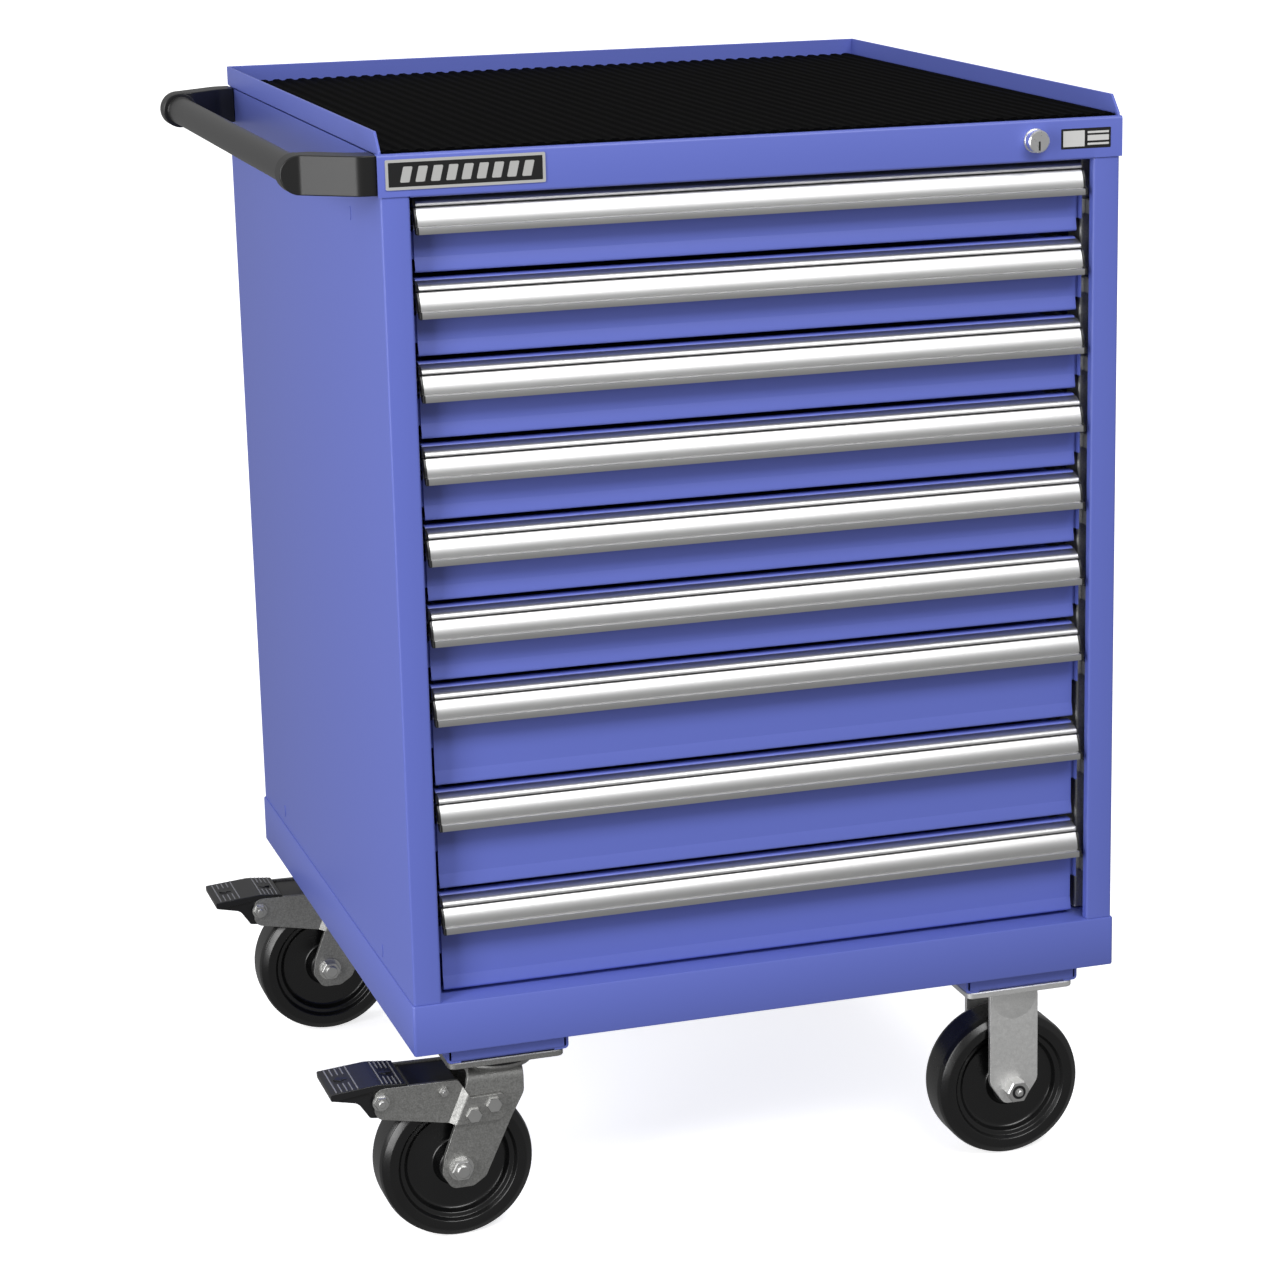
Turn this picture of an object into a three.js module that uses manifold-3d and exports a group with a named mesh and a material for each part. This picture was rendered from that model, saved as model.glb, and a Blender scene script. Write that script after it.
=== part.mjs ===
// Rolling tool chest: a nine-drawer steel cabinet on four casters, with a side handle and a matted top.
// Millimetres, +Z up. The cabinet is laid out with x = 0 at its left side, y = 0 at the face of its front
// posts and z = 0 at the bottom of its base. The finished group is moved so that its origin is the bottom
// centre of the whole chest.
import * as THREE from "three";
import { mergeVertices } from "three/addons/utils/BufferGeometryUtils.js";
import Module from "manifold-3d";

// ---------- driving dimensions ----------

const INCH = 25.4;
const GAP = 0.3; // between pieces that touch
const OVER = 1; // how far a cutter runs past a face, and a joined piece into its neighbour

// The base, fascia and rear lip stand proud of the side panels.
const HOUSING = { width: 717.5, depth: 28.5 * INCH, sheet: 1.6, proud: 1.8 };
const BASE_HEIGHT = 2 * INCH;
const FASCIA_HEIGHT = 1.5 * INCH;
const LIP_HEIGHT = 0.75 * INCH;
const LIP_SLANT = 16; // how far the top of a side lip is set back from its foot at the front
const DRAWER_HEIGHTS = [3, 3, 3, 3, 3, 3, 4, 4, 4].map((inches) => inches * INCH);
const OPENING_HEIGHT = DRAWER_HEIGHTS.reduce((sum, height) => sum + height, 0);
const OPENING_TOP = BASE_HEIGHT + OPENING_HEIGHT;
const DECK_TOP = OPENING_TOP + FASCIA_HEIGHT;
const DECK_BOTTOM = DECK_TOP - HOUSING.sheet;
const LIP_TOP = DECK_TOP + LIP_HEIGHT;

const LIP_FOOT = 3; // height above the deck's underside at which a side lip's slant starts
const FASCIA_FOLD = { inset: 4, depth: 12 }; // of the fold along its lower edge, between the posts
const FASCIA_MIDDLE = OPENING_TOP + FASCIA_HEIGHT / 2;

const POST = { width: 27, returnDepth: 9, rearFlange: 20, notchGap: 0.5 };
const BACK_HEM = 12;
const BASE_HEM = 8; // width of the hem folded inward along the foot of the base
const MAT = { thickness: 3, clearance: 1.5, frontInset: 3 };

const CHANNEL = { width: 120.5, drop: 5 / 8 * INCH, sheet: 2.5, inset: 32, endGap: 9.5, foldedEdge: 14 };

// Drawers. Heights called "drop" are measured down from the top of the drawer's own share of the opening.
const DRAWER = {
  endGap: 34.5, // from the side of the housing to the end of the front
  boxInset: 46, // from the side of the housing to the side of the box
  sheet: 1.2,
  frontSheet: 1.6,
  frontFace: 24, // how far the front is set back behind the posts
  flareFace: 19.5, // the same at its lower edge, which flares out
  frontTopDrop: 1.8,
  flareHeight: 13.8,
  bottomGap: 3.9,
  hem: 9,
  floorLift: 7,
  sideTopDrop: 6.5,
  rear: 684,
};

// The extruded pull, as (y, drop) points of its section.
const PULL = {
  wall: 1.9,
  back: DRAWER.frontFace - GAP,
  stripTop: [20.5, 3.4],
  nose: [11, 9.2],
  noseFoot: [11.3, 11.2],
  faceMiddle: [5.6, 17.6],
  faceFoot: [5, 28.6],
  lipTop: [1.6, 29],
  lipFoot: [1, 35.3],
  webFoot: 33,
};

// Drawer slides. Every runner is centred SLIDE.drop below the top of its drawer's share of the opening.
const SLIDE = { drop: 20.5, front: 42, rear: 676, tieDepth: 5, tieHeight: 12, overrun: 16 };
const FIXED_CHANNEL = { back: 24, mouth: 34, halfHeight: 13, sheet: 2 };
const CARRIAGE = { outer: 28, inner: 41.5, flange: 3, halfHeight: 9.5, halfWeb: 2 };
const RUNNER = { mouth: 35.5, halfHeight: 13, sheet: 2 };
const UPRIGHT = { positions: [33, 340, 640], length: 30, outer: 2, sheet: 2, endGap: 2 };

// Side handle, centred on the height of the top fascia. "inset" is the y of a bracket's foot.
const HANDLE = {
  reach: 81, // from the side of the housing to the outer end of the brackets
  halfHeight: 18,
  gripRadius: 14,
  gripInset: 50, // y of the grip's ends, from the front and from the rear
  inset: 3.5,
  thickness: 32,
  straight: 17,
  slant: 34,
  elbow: 6, // how much further back the arm's inner and outer corners sit than its slant
  endDepth: 16, // of the brackets' outer ends, behind the grip's end
  endWidth: 12,
  socketDepth: 30,
};
const GRIP = { x: -(HANDLE.reach - HANDLE.halfHeight), z: FASCIA_MIDDLE };

const LOCK = {
  x: 629,
  z: FASCIA_MIDDLE,
  radius: 10.6,
  shankRadius: 9.4,
  keyholeRadius: 10,
  face: 12,
  depth: 9,
  slot: { width: 1.6, length: 8.6, depth: 2 },
};
const LOCK_BAR = {
  x: 694,
  width: 6,
  front: 12.5,
  thickness: 3,
  foot: BASE_HEIGHT + 19,
  head: LOCK.z + 4,
  armHeight: 12,
  armEnd: 618,
};
// Each tab runs back from the bar and hooks inward, below the slides of its drawer.
const LOCK_TAB = { reach: 7, rear: 31, thickness: 4, height: 14, drop: 9 };

// Casters: 6 x 2 in wheels, 7.5 in overall.
const CASTER = {
  overall: 7.5 * INCH,
  plate: [4.5 * INCH, 4 * INCH, 6.3],
  leftX: 91,
  rightX: 624,
  fromEnd: 61, // y of the kingpin from the front and from the rear
  trail: 45.5,
  legOuter: 34.5,
  legThickness: 5.5,
  boltRadius: 7,
  headRadius: 11,
  headHeight: 7,
};
const WHEEL = { radius: 3 * INCH, width: 2 * INCH, facets: 24 };
const AXLE_SLEEVE_RADIUS = 9.2;
// One side of the wheel's section from its bore outward: radius, and distance from the wheel's middle.
const WHEEL_SIDE = [
  [9.6, 28.6],
  [20, 28.6],
  [23, 15.4],
  [50, 14.4],
  [58, 24.4],
  [69, 25.4],
  [WHEEL.radius, 17.4],
];

const PLATE_TOP = -CHANNEL.drop - GAP;
const FLOOR = PLATE_TOP + GAP - CASTER.overall;
const AXLE_Z = FLOOR + WHEEL.radius;
const PLATE_FOOT = PLATE_TOP - CASTER.plate[2];

// The swivel's races, and the fork under them.
const RACE = { radius: 37, height: 5, crown: 8.5 };
const CROWN_TOP = PLATE_FOOT - RACE.height - GAP;
const FORK_TOP = CROWN_TOP - RACE.crown;
const NECK = { rear: -31, front: 17, bridge: 3 }; // x from the kingpin, and the bridge's depth

// Corners of a leg of the fork, as x, z and corner radius. Those of its foot are measured from the axle.
const LEG_FRONT = [
  [17.5, -58, 8],
  [7, -83, 12],
];
const LEG_FOOT = [
  [24, -14, 8],
  [10, -20, 6],
  [-10, -20, 9],
  [-18, -4, 8],
  [-16, 12, 8],
];
const LEG_REAR = [[-48, -82, 12]];

// The brake, with x from the kingpin. Its arms are given by corners as x, z and corner radius.
const PIVOT = { x: -121, z: -52, radius: 4 };
const ARM = { outer: 39, thickness: 4 };
const ARM_CORNERS = [
  [-125, -39.5, 3],
  [-45, -41, 8],
  [-32, -59, 3],
  [-3, -59, 3],
  [-3, -83, 4],
  [-47, -83, 4],
  [-125, -68, 4],
];
const SPRING_PLATE = { rear: -91, front: -48, foot: -51, head: -47 };
const PEDAL = { half: 33, webHalf: 26, cheek: 9, webRear: -100, front: -94.7, webFoot: -51 };
const CHEEK_POINTS = [
  [-168, -39],
  [-122, -34.5],
  [-94.5, -38],
  [-94.5, -50],
  [-122, -69],
  [-130, -68],
  [-169, -46],
];
const TREAD_POINTS = [
  [-169.3, -38],
  [-122, -34],
  [-94.7, -37],
  [-94.7, -42],
  [-122, -40],
  [-169.3, -45],
];

// The rigid caster's bracket: half width and foot of its legs, their chamfers, and the crown between them.
const RIGID = { legHalf: 26, foot: 16, chamfer: [15.5, 22.5], crownDrop: 8, crownOverhang: 8 };

const BLUE = { color: 0x5a66c4, roughness: 0.35, metalness: 0.0 };
const BLACK = { color: 0x141416, roughness: 0.5, metalness: 0.0 };
const RUBBER = { color: 0x101012, roughness: 0.8, metalness: 0.0 };
const ALUMINIUM = { color: 0xc9cacc, roughness: 0.3, metalness: 1.0 };
const ZINC = { color: 0x9a9a98, roughness: 0.4, metalness: 1.0 };
const CHROME = { color: 0xd6d6d8, roughness: 0.12, metalness: 1.0 };
const PHENOLIC = { color: 0x0c0c0d, roughness: 0.2, metalness: 0.0 };

// ---------- geometry helpers ----------

const wasm = await Module();
wasm.setup();

// Axes that an extruded outline's own x, y and depth are turned onto.
const X = new THREE.Vector3(1, 0, 0);
const Y = new THREE.Vector3(0, 1, 0);
const Z = new THREE.Vector3(0, 0, 1);

function box(x0, x1, y0, y1, z0, z1) {
  const size = [x1 - x0, y1 - y0, z1 - z0];
  return new THREE.BoxGeometry(...size).translate((x0 + x1) / 2, (y0 + y1) / 2, (z0 + z1) / 2);
}

// An outline is a THREE.Shape or a list of points.
function extruded(outline, depth, curveSegments = 8) {
  const isShape = outline instanceof THREE.Shape;
  const shape = isShape ? outline : new THREE.Shape(outline.map((p) => new THREE.Vector2(...p)));
  return new THREE.ExtrudeGeometry(shape, { depth, bevelEnabled: false, curveSegments });
}

// Outline given as (y, z) points, running from x0 to x1.
function alongX(outline, x0, x1) {
  return extruded(outline, x1 - x0).applyMatrix4(new THREE.Matrix4().makeBasis(Y, Z, X)).translate(x0, 0, 0);
}

// Outline given as (x, z) points, running from y0 to y1.
function alongY(outline, y0, y1, curveSegments) {
  const turn = new THREE.Matrix4().makeBasis(X, Z, Y.clone().negate());
  return extruded(outline, y1 - y0, curveSegments).applyMatrix4(turn).translate(0, y1, 0);
}

// Outline given as (x, y) points, running from z0 to z1.
function alongZ(outline, z0, z1) {
  return extruded(outline, z1 - z0).translate(0, 0, z0);
}

function cylinderY(radius, x, z, y0, y1, sides = 20) {
  return new THREE.CylinderGeometry(radius, radius, y1 - y0, sides).translate(x, (y0 + y1) / 2, z);
}

// A disc with an upright axis.
function disc(radius, x, y, z0, z1, sides = 24) {
  const stood = new THREE.CylinderGeometry(radius, radius, z1 - z0, sides).rotateX(Math.PI / 2);
  return stood.translate(x, y, (z0 + z1) / 2);
}

function toSolid(geometry) {
  const bare = geometry.clone();
  bare.deleteAttribute("normal");
  bare.deleteAttribute("uv");
  const merged = mergeVertices(bare, 1e-4);
  const vertProperties = new Float32Array(merged.attributes.position.array);
  const triVerts = new Uint32Array(merged.index.array);
  return new wasm.Manifold(new wasm.Mesh({ numProp: 3, vertProperties, triVerts }));
}

function toGeometry(solid) {
  const mesh = solid.getMesh();
  const geometry = new THREE.BufferGeometry();
  geometry.setAttribute("position", new THREE.BufferAttribute(mesh.vertProperties, 3));
  geometry.setIndex(new THREE.BufferAttribute(mesh.triVerts, 1));
  geometry.computeVertexNormals();
  return geometry;
}

function join(...pieces) {
  return toGeometry(pieces.map(toSolid).reduce((sum, piece) => sum.add(piece)));
}

function cut(base, ...tools) {
  return toGeometry(tools.map(toSolid).reduce((rest, tool) => rest.subtract(tool), toSolid(base)));
}

function common(first, second) {
  return toGeometry(toSolid(first).intersect(toSolid(second)));
}

function mirrorX(geometry) {
  return flipped(geometry.clone().scale(-1, 1, 1)).translate(HOUSING.width, 0, 0);
}

function mirrorY(geometry) {
  return flipped(geometry.clone().scale(1, -1, 1)).translate(0, HOUSING.depth, 0);
}

// A mirrored geometry with its faces turned the right way out again.
function flipped(geometry) {
  const solid = geometry.index ? geometry.toNonIndexed() : geometry;
  const p = solid.attributes.position;
  for (let i = 0; i < p.count; i += 3) {
    const [x, y, z] = [p.getX(i), p.getY(i), p.getZ(i)];
    p.setXYZ(i, p.getX(i + 1), p.getY(i + 1), p.getZ(i + 1));
    p.setXYZ(i + 1, x, y, z);
  }
  return solid;
}

// ---------- housing ----------

// One side of the housing: wall, front post with its return, and rear flange, folded from one sheet.
function sidePanel() {
  const t = HOUSING.sheet;
  const rear = HOUSING.depth;
  const outline = [
    [0, 0],
    [POST.width, 0],
    [POST.width, POST.returnDepth],
    [POST.width - t, POST.returnDepth],
    [POST.width - t, t],
    [t, t],
    [t, rear - t],
    [POST.rearFlange, rear - t],
    [POST.rearFlange, rear],
    [0, rear],
  ];
  const panel = alongZ(outline, BASE_HEIGHT + GAP, DECK_BOTTOM - GAP);
  // The post's return stops at the opening, clear of the fascia's fold.
  const notchFoot = OPENING_TOP + POST.notchGap;
  const notch = box(t + OVER, POST.width + OVER, -OVER, POST.returnDepth + OVER, notchFoot, DECK_TOP);
  return cut(panel, notch);
}

// The rear wall, a shallow pan between the side panels' rear flanges.
function backPanel() {
  const t = HOUSING.sheet;
  const inset = POST.rearFlange + GAP;
  const hem = BACK_HEM;
  const rear = HOUSING.depth;
  const outline = [
    [inset, rear],
    [inset, rear - hem],
    [inset + t, rear - hem],
    [inset + t, rear - t],
    [HOUSING.width - inset - t, rear - t],
    [HOUSING.width - inset - t, rear - hem],
    [HOUSING.width - inset, rear - hem],
    [HOUSING.width - inset, rear],
  ];
  return alongZ(outline, BASE_HEIGHT + GAP, DECK_BOTTOM - GAP);
}

// The base: a deck with a deep skirt all round it, hemmed inward along its foot and open below.
function baseFrame() {
  const t = HOUSING.sheet;
  const { width, depth, proud } = HOUSING;
  const outer = box(-proud, width + proud, -proud, depth + proud, 0, BASE_HEIGHT);
  const inside = box(t - proud, width + proud - t, t - proud, depth + proud - t, t, BASE_HEIGHT - t);
  const hem = BASE_HEM - proud;
  const mouth = box(hem, width - hem, hem, depth - hem, -OVER, t + OVER);
  return cut(outer, inside, mouth);
}

// One side lip in the (y, z) plane, slanted at the front.
function lipOutline() {
  const { depth, proud } = HOUSING;
  return [
    [0, DECK_BOTTOM],
    [depth + proud, DECK_BOTTOM],
    [depth + proud, LIP_TOP],
    [LIP_SLANT, LIP_TOP],
    [0, DECK_BOTTOM + LIP_FOOT],
  ];
}

// The top: a deck with the front fascia folded down from it and lips folded up on the other three sides.
function topPanel() {
  const t = HOUSING.sheet;
  const { width, depth, proud } = HOUSING;
  const deck = box(0, width, -proud + t / 2, depth + proud, DECK_BOTTOM, DECK_TOP);
  const fascia = box(-proud, width + proud, -proud, -proud + t, OPENING_TOP, DECK_TOP);
  const foldEnd = POST.width + FASCIA_FOLD.inset;
  const foldHead = OPENING_TOP + t;
  const fasciaFold = box(foldEnd, width - foldEnd, -proud, FASCIA_FOLD.depth, OPENING_TOP, foldHead);
  const leftLip = alongX(lipOutline(), 0, t);
  const rightLip = alongX(lipOutline(), width - t, width);
  const rearLip = box(0, width, depth + proud - t, depth + proud, DECK_BOTTOM, LIP_TOP);
  const keyhole = cylinderY(LOCK.keyholeRadius, LOCK.x, LOCK.z, -proud - OVER, t, 24);
  return cut(join(deck, fascia, fasciaFold, leftLip, rightLip, rearLip), keyhole);
}

function topMat() {
  const edge = HOUSING.sheet + MAT.clearance;
  const rear = HOUSING.depth + HOUSING.proud - edge;
  const foot = DECK_TOP + GAP;
  return box(edge, HOUSING.width - edge, MAT.frontInset, rear, foot, foot + MAT.thickness);
}

// A folded pan welded under the base's deck, which the caster plates bolt to. Its long edges fold inward at
// the top.
function casterChannel() {
  const t = CHANNEL.sheet;
  const [x0, x1] = [CHANNEL.inset, CHANNEL.inset + CHANNEL.width];
  const [y0, y1] = [CHANNEL.endGap, HOUSING.depth - CHANNEL.endGap];
  const [foot, head] = [-CHANNEL.drop, BASE_HEIGHT - HOUSING.sheet - GAP];
  const outer = box(x0, x1, y0, y1, foot, head);
  const inside = box(x0 + t, x1 - t, y0 + t, y1 - t, foot + t, head - t);
  const fold = CHANNEL.foldedEdge;
  const mouth = box(x0 + fold, x1 - fold, y0 + t, y1 - t, foot + t, head + OVER);
  return cut(outer, inside, mouth);
}

// ---------- drawer slides ----------

// Tops of the drawers' shares of the opening, from the highest down.
const drawerTops = DRAWER_HEIGHTS.map((_, i) => {
  const above = DRAWER_HEIGHTS.slice(0, i).reduce((sum, height) => sum + height, 0);
  return OPENING_TOP - above;
});

// A C-section in the (x, z) plane with its back at xBack and its mouth at xMouth.
function channelOutline(xBack, xMouth, z, halfHeight, sheet) {
  const inward = Math.sign(xMouth - xBack) * sheet;
  return [
    [xBack, z - halfHeight],
    [xMouth, z - halfHeight],
    [xMouth, z - halfHeight + sheet],
    [xBack + inward, z - halfHeight + sheet],
    [xBack + inward, z + halfHeight - sheet],
    [xMouth, z + halfHeight - sheet],
    [xMouth, z + halfHeight],
    [xBack, z + halfHeight],
  ];
}

// Uprights against the housing's side, with the fixed channel of every drawer welded across them.
function slideFrame() {
  const { positions, length, outer, sheet, endGap } = UPRIGHT;
  const foot = BASE_HEIGHT + endGap;
  const head = DECK_BOTTOM - endGap;
  const uprights = positions.map((y) => {
    const outline = [
      [outer, y],
      [outer + sheet, y],
      [outer + sheet, y + sheet],
      [FIXED_CHANNEL.back + sheet / 2, y + sheet],
      [FIXED_CHANNEL.back + sheet / 2, y + length],
      [FIXED_CHANNEL.back - sheet / 2, y + length],
      [FIXED_CHANNEL.back - sheet / 2, y + 2 * sheet],
      [outer, y + 2 * sheet],
    ];
    return alongZ(outline, foot, head);
  });
  const channels = drawerTops.map((top) => {
    const { back, mouth, halfHeight, sheet: wall } = FIXED_CHANNEL;
    return alongY(channelOutline(back, mouth, top - SLIDE.drop, halfHeight, wall), SLIDE.front, SLIDE.rear);
  });
  return join(...uprights, ...channels);
}

// The pair of intermediate members of one drawer's slides, with the bar behind the drawer that keeps them
// level.
function carriage(top) {
  const z = top - SLIDE.drop;
  const { outer, inner, flange, halfHeight, halfWeb } = CARRIAGE;
  const outline = [
    [outer, z - halfHeight],
    [outer + flange, z - halfHeight],
    [outer + flange, z - halfWeb],
    [inner - flange, z - halfWeb],
    [inner - flange, z - halfHeight],
    [inner, z - halfHeight],
    [inner, z + halfHeight],
    [inner - flange, z + halfHeight],
    [inner - flange, z + halfWeb],
    [outer + flange, z + halfWeb],
    [outer + flange, z + halfHeight],
    [outer, z + halfHeight],
  ];
  const rear = SLIDE.rear + SLIDE.overrun;
  const member = alongY(outline, SLIDE.front, rear);
  const tieFront = rear - SLIDE.tieDepth;
  const tieHalf = SLIDE.tieHeight / 2;
  const tieEnd = outer + OVER;
  const tie = box(tieEnd, HOUSING.width - tieEnd, tieFront, rear - OVER, z - tieHalf, z + tieHalf);
  return join(member, mirrorX(member), tie);
}

// ---------- drawers ----------

// Folded front in the (y, z) plane: flat, then flaring forward to a hemmed lower edge.
function frontOutline(top, height) {
  const { frontSheet: t, frontFace, flareFace, hem } = DRAWER;
  const foot = top - height + DRAWER.bottomGap;
  const bend = foot + DRAWER.flareHeight;
  const head = top - DRAWER.frontTopDrop;
  return [
    [frontFace, head],
    [frontFace, bend],
    [flareFace, foot],
    [flareFace + hem, foot],
    [flareFace + hem, foot + t],
    [flareFace + 1.25 * t, foot + t],
    [frontFace + t, bend - t / 4],
    [frontFace + t, head],
  ];
}

// One drawer: front, open box and the runners on its sides.
function drawerBox(top, height) {
  const t = DRAWER.sheet;
  const [x0, x1] = [DRAWER.boxInset, HOUSING.width - DRAWER.boxInset];
  const front = DRAWER.frontFace + DRAWER.frontSheet;
  const floor = top - height + DRAWER.floorLift;
  const rim = top - DRAWER.sideTopDrop;
  const tub = cut(
    box(x0, x1, front - t / 2, DRAWER.rear, floor, rim),
    box(x0 + t, x1 - t, front - OVER, DRAWER.rear - t, floor + t, rim + OVER),
  );
  const { mouth, halfHeight, sheet } = RUNNER;
  const runner = alongY(
    channelOutline(x0 + t / 2, mouth, top - SLIDE.drop, halfHeight, sheet),
    SLIDE.front,
    SLIDE.rear,
  );
  const face = alongX(frontOutline(top, height), DRAWER.endGap, HOUSING.width - DRAWER.endGap);
  return join(face, tub, runner, mirrorX(runner));
}

// The pull: a thin extrusion that slopes down from the front, turns at a nose, and falls in a curve to a lip,
// with the fingers' room behind it.
function pull(top) {
  const at = ([y, drop]) => new THREE.Vector2(y, top - drop);
  const { wall, back, webFoot, stripTop, lipTop, lipFoot } = PULL;
  const curve = new THREE.QuadraticBezierCurve(at(PULL.noseFoot), at(PULL.faceMiddle), at(PULL.faceFoot));
  const face = curve.getPoints(5);
  const innerFace = face.map((p) => new THREE.Vector2(p.x + wall, p.y)).reverse();
  const under = stripTop[1] + 1.5 * wall;
  const lipUnder = lipTop[1] + wall;
  const outline = new THREE.Shape([
    at([back, stripTop[1]]),
    at(stripTop),
    at(PULL.nose),
    ...face,
    at(lipTop),
    at(lipFoot),
    at([lipFoot[0] + wall, lipFoot[1]]),
    at([lipFoot[0] + 1.5 * wall, lipUnder]),
    at([PULL.faceFoot[0] + wall, lipUnder]),
    ...innerFace,
    at([stripTop[0] - wall / 2, under]),
    at([back - wall, under]),
    at([back - wall, webFoot]),
    at([back, webFoot]),
  ]);
  return alongX(outline, DRAWER.endGap, HOUSING.width - DRAWER.endGap);
}

// ---------- handle ----------

// The front bracket: an arm that leaves the side square, slants back and ends in a half round about the grip.
function handleBracket() {
  const { halfHeight, inset, thickness, straight, slant, elbow, gripInset } = HANDLE;
  const elevation = new THREE.Shape();
  elevation.moveTo(-GAP, GRIP.z - halfHeight);
  elevation.lineTo(-GAP, GRIP.z + halfHeight);
  elevation.lineTo(GRIP.x, GRIP.z + halfHeight);
  elevation.absarc(GRIP.x, GRIP.z, halfHeight, Math.PI / 2, 1.5 * Math.PI, false);
  const end = gripInset + HANDLE.endDepth;
  const outside = -HANDLE.reach - OVER;
  const plan = [
    [0, inset],
    [-straight, inset],
    [GRIP.x, inset + slant],
    [outside, inset + slant + elbow],
    [outside, end],
    [GRIP.x + HANDLE.endWidth, end],
    [-straight, inset + thickness + elbow],
    [0, inset + thickness],
  ];
  const blank = alongY(elevation, 0, end + OVER, 10);
  const trimmed = common(blank, alongZ(plan, GRIP.z - 2 * halfHeight, GRIP.z + 2 * halfHeight));
  const socketRadius = HANDLE.gripRadius + GAP;
  const socketEnd = gripInset + HANDLE.socketDepth;
  return cut(trimmed, cylinderY(socketRadius, GRIP.x, GRIP.z, gripInset, socketEnd, 28));
}

function handleGrip() {
  const end = HANDLE.gripInset + GAP;
  return cylinderY(HANDLE.gripRadius, GRIP.x, GRIP.z, end, HOUSING.depth - end, 28);
}

// ---------- lock ----------

function lockCylinder() {
  const { x, z, radius, shankRadius, face, depth, slot: key } = LOCK;
  const front = -HOUSING.proud - face;
  const head = cylinderY(radius, x, z, front, -HOUSING.proud - GAP, 24);
  const shank = cylinderY(shankRadius, x, z, front, depth, 24);
  const [left, right] = [x - key.width / 2, x + key.width / 2];
  const slot = box(left, right, front - OVER, front + key.depth, z - key.length, z);
  return cut(join(head, shank), slot);
}

// A vertical bar behind the right post, with a tab beside every drawer and an arm to the back of the lock.
function lockBar() {
  const { x, width, front, thickness, foot, head, armHeight, armEnd } = LOCK_BAR;
  const back = front + thickness;
  const bar = box(x, x + width, front, back, foot, head);
  const arm = box(armEnd, x + width, front, back, head - armHeight, head);
  const tab = [
    [x, front],
    [x + width, front],
    [x + width, LOCK_TAB.rear],
    [x - LOCK_TAB.reach, LOCK_TAB.rear],
    [x - LOCK_TAB.reach, LOCK_TAB.rear - LOCK_TAB.thickness],
    [x, LOCK_TAB.rear - LOCK_TAB.thickness],
  ];
  const tabs = drawerTops.map((top) => {
    const z = top - SLIDE.drop - FIXED_CHANNEL.halfHeight - LOCK_TAB.drop;
    return alongZ(tab, z - LOCK_TAB.height, z);
  });
  return join(bar, arm, ...tabs);
}

// ---------- casters ----------

// Outline in the (x, z) plane of a smooth closed leg, given corners and the radius of each corner.
function roundedOutline(corners) {
  const shape = new THREE.Shape();
  const count = corners.length;
  corners.forEach(([x, z, radius], i) => {
    const corner = new THREE.Vector2(x, z);
    const before = new THREE.Vector2(...corners[(i + count - 1) % count]);
    const after = new THREE.Vector2(...corners[(i + 1) % count]);
    const start = corner.clone().add(before.sub(corner).setLength(radius));
    const end = corner.clone().add(after.sub(corner).setLength(radius));
    if (i === 0) shape.moveTo(start.x, start.y);
    else shape.lineTo(start.x, start.y);
    shape.quadraticCurveTo(corner.x, corner.y, end.x, end.y);
  });
  shape.closePath();
  return shape;
}

function casterPlate(x, y) {
  const [length, width] = CASTER.plate;
  return box(x - length / 2, x + length / 2, y - width / 2, y + width / 2, PLATE_FOOT, PLATE_TOP);
}

// Corners moved sideways by x and up by z.
function moved(corners, x, z = 0) {
  return corners.map(([cornerX, cornerZ, ...rest]) => [cornerX + x, cornerZ + z, ...rest]);
}

// The swivel caster's mounting plate with the upper race under it.
function swivelPlate(x, y) {
  return join(casterPlate(x, y), disc(RACE.radius, x, y, PLATE_FOOT - RACE.height, PLATE_FOOT + OVER));
}

// The same outline on each side of the wheel.
function legPair(outline, y, outer, thickness, segments) {
  return [
    alongY(outline, y - outer, y - outer + thickness, segments),
    alongY(outline, y + outer - thickness, y + outer, segments),
  ];
}

// A round hole along y through both legs.
function legBore(radius, x, y, z) {
  const reach = CASTER.plate[1] / 2;
  return cylinderY(radius, x, z, y - reach, y + reach, 16);
}

// The swivel fork: a round crown, and two legs that sweep back from it to the axle.
function swivelFork(x, y) {
  const axleX = x - CASTER.trail;
  const { legOuter, legThickness } = CASTER;
  const [rear, front] = [x + NECK.rear, x + NECK.front];
  const head = FORK_TOP + 2 * OVER;
  const crown = disc(RACE.radius + 1, x, y, FORK_TOP + OVER, CROWN_TOP);
  const bridge = box(rear, front, y - legOuter, y + legOuter, FORK_TOP - NECK.bridge, head);
  const leg = roundedOutline([
    [rear, head, 2],
    [front, head, 3],
    ...moved(LEG_FRONT, x),
    ...moved(LEG_FOOT, axleX, AXLE_Z),
    ...moved(LEG_REAR, x),
  ]);
  const legs = legPair(leg, y, legOuter, legThickness, 3);
  return cut(join(crown, bridge, ...legs), legBore(CASTER.boltRadius + GAP, axleX, y, AXLE_Z));
}

// The brake's bracket: an arm each side of the wheel, bolted to the fork, joined by the brake's spring plate
// and by the pedal's pivot pin.
function brakeBracket(x, y) {
  const arms = legPair(roundedOutline(moved(ARM_CORNERS, x)), y, ARM.outer, ARM.thickness, 2);
  const { rear, front, foot, head } = SPRING_PLATE;
  const plate = box(x + rear, x + front, y - ARM.outer, y + ARM.outer, foot, head);
  const pinEnd = ARM.outer + ARM.thickness;
  const pin = cylinderY(PIVOT.radius, x + PIVOT.x, PIVOT.z, y - pinEnd, y + pinEnd, 14);
  return join(...arms, plate, pin);
}

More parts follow.
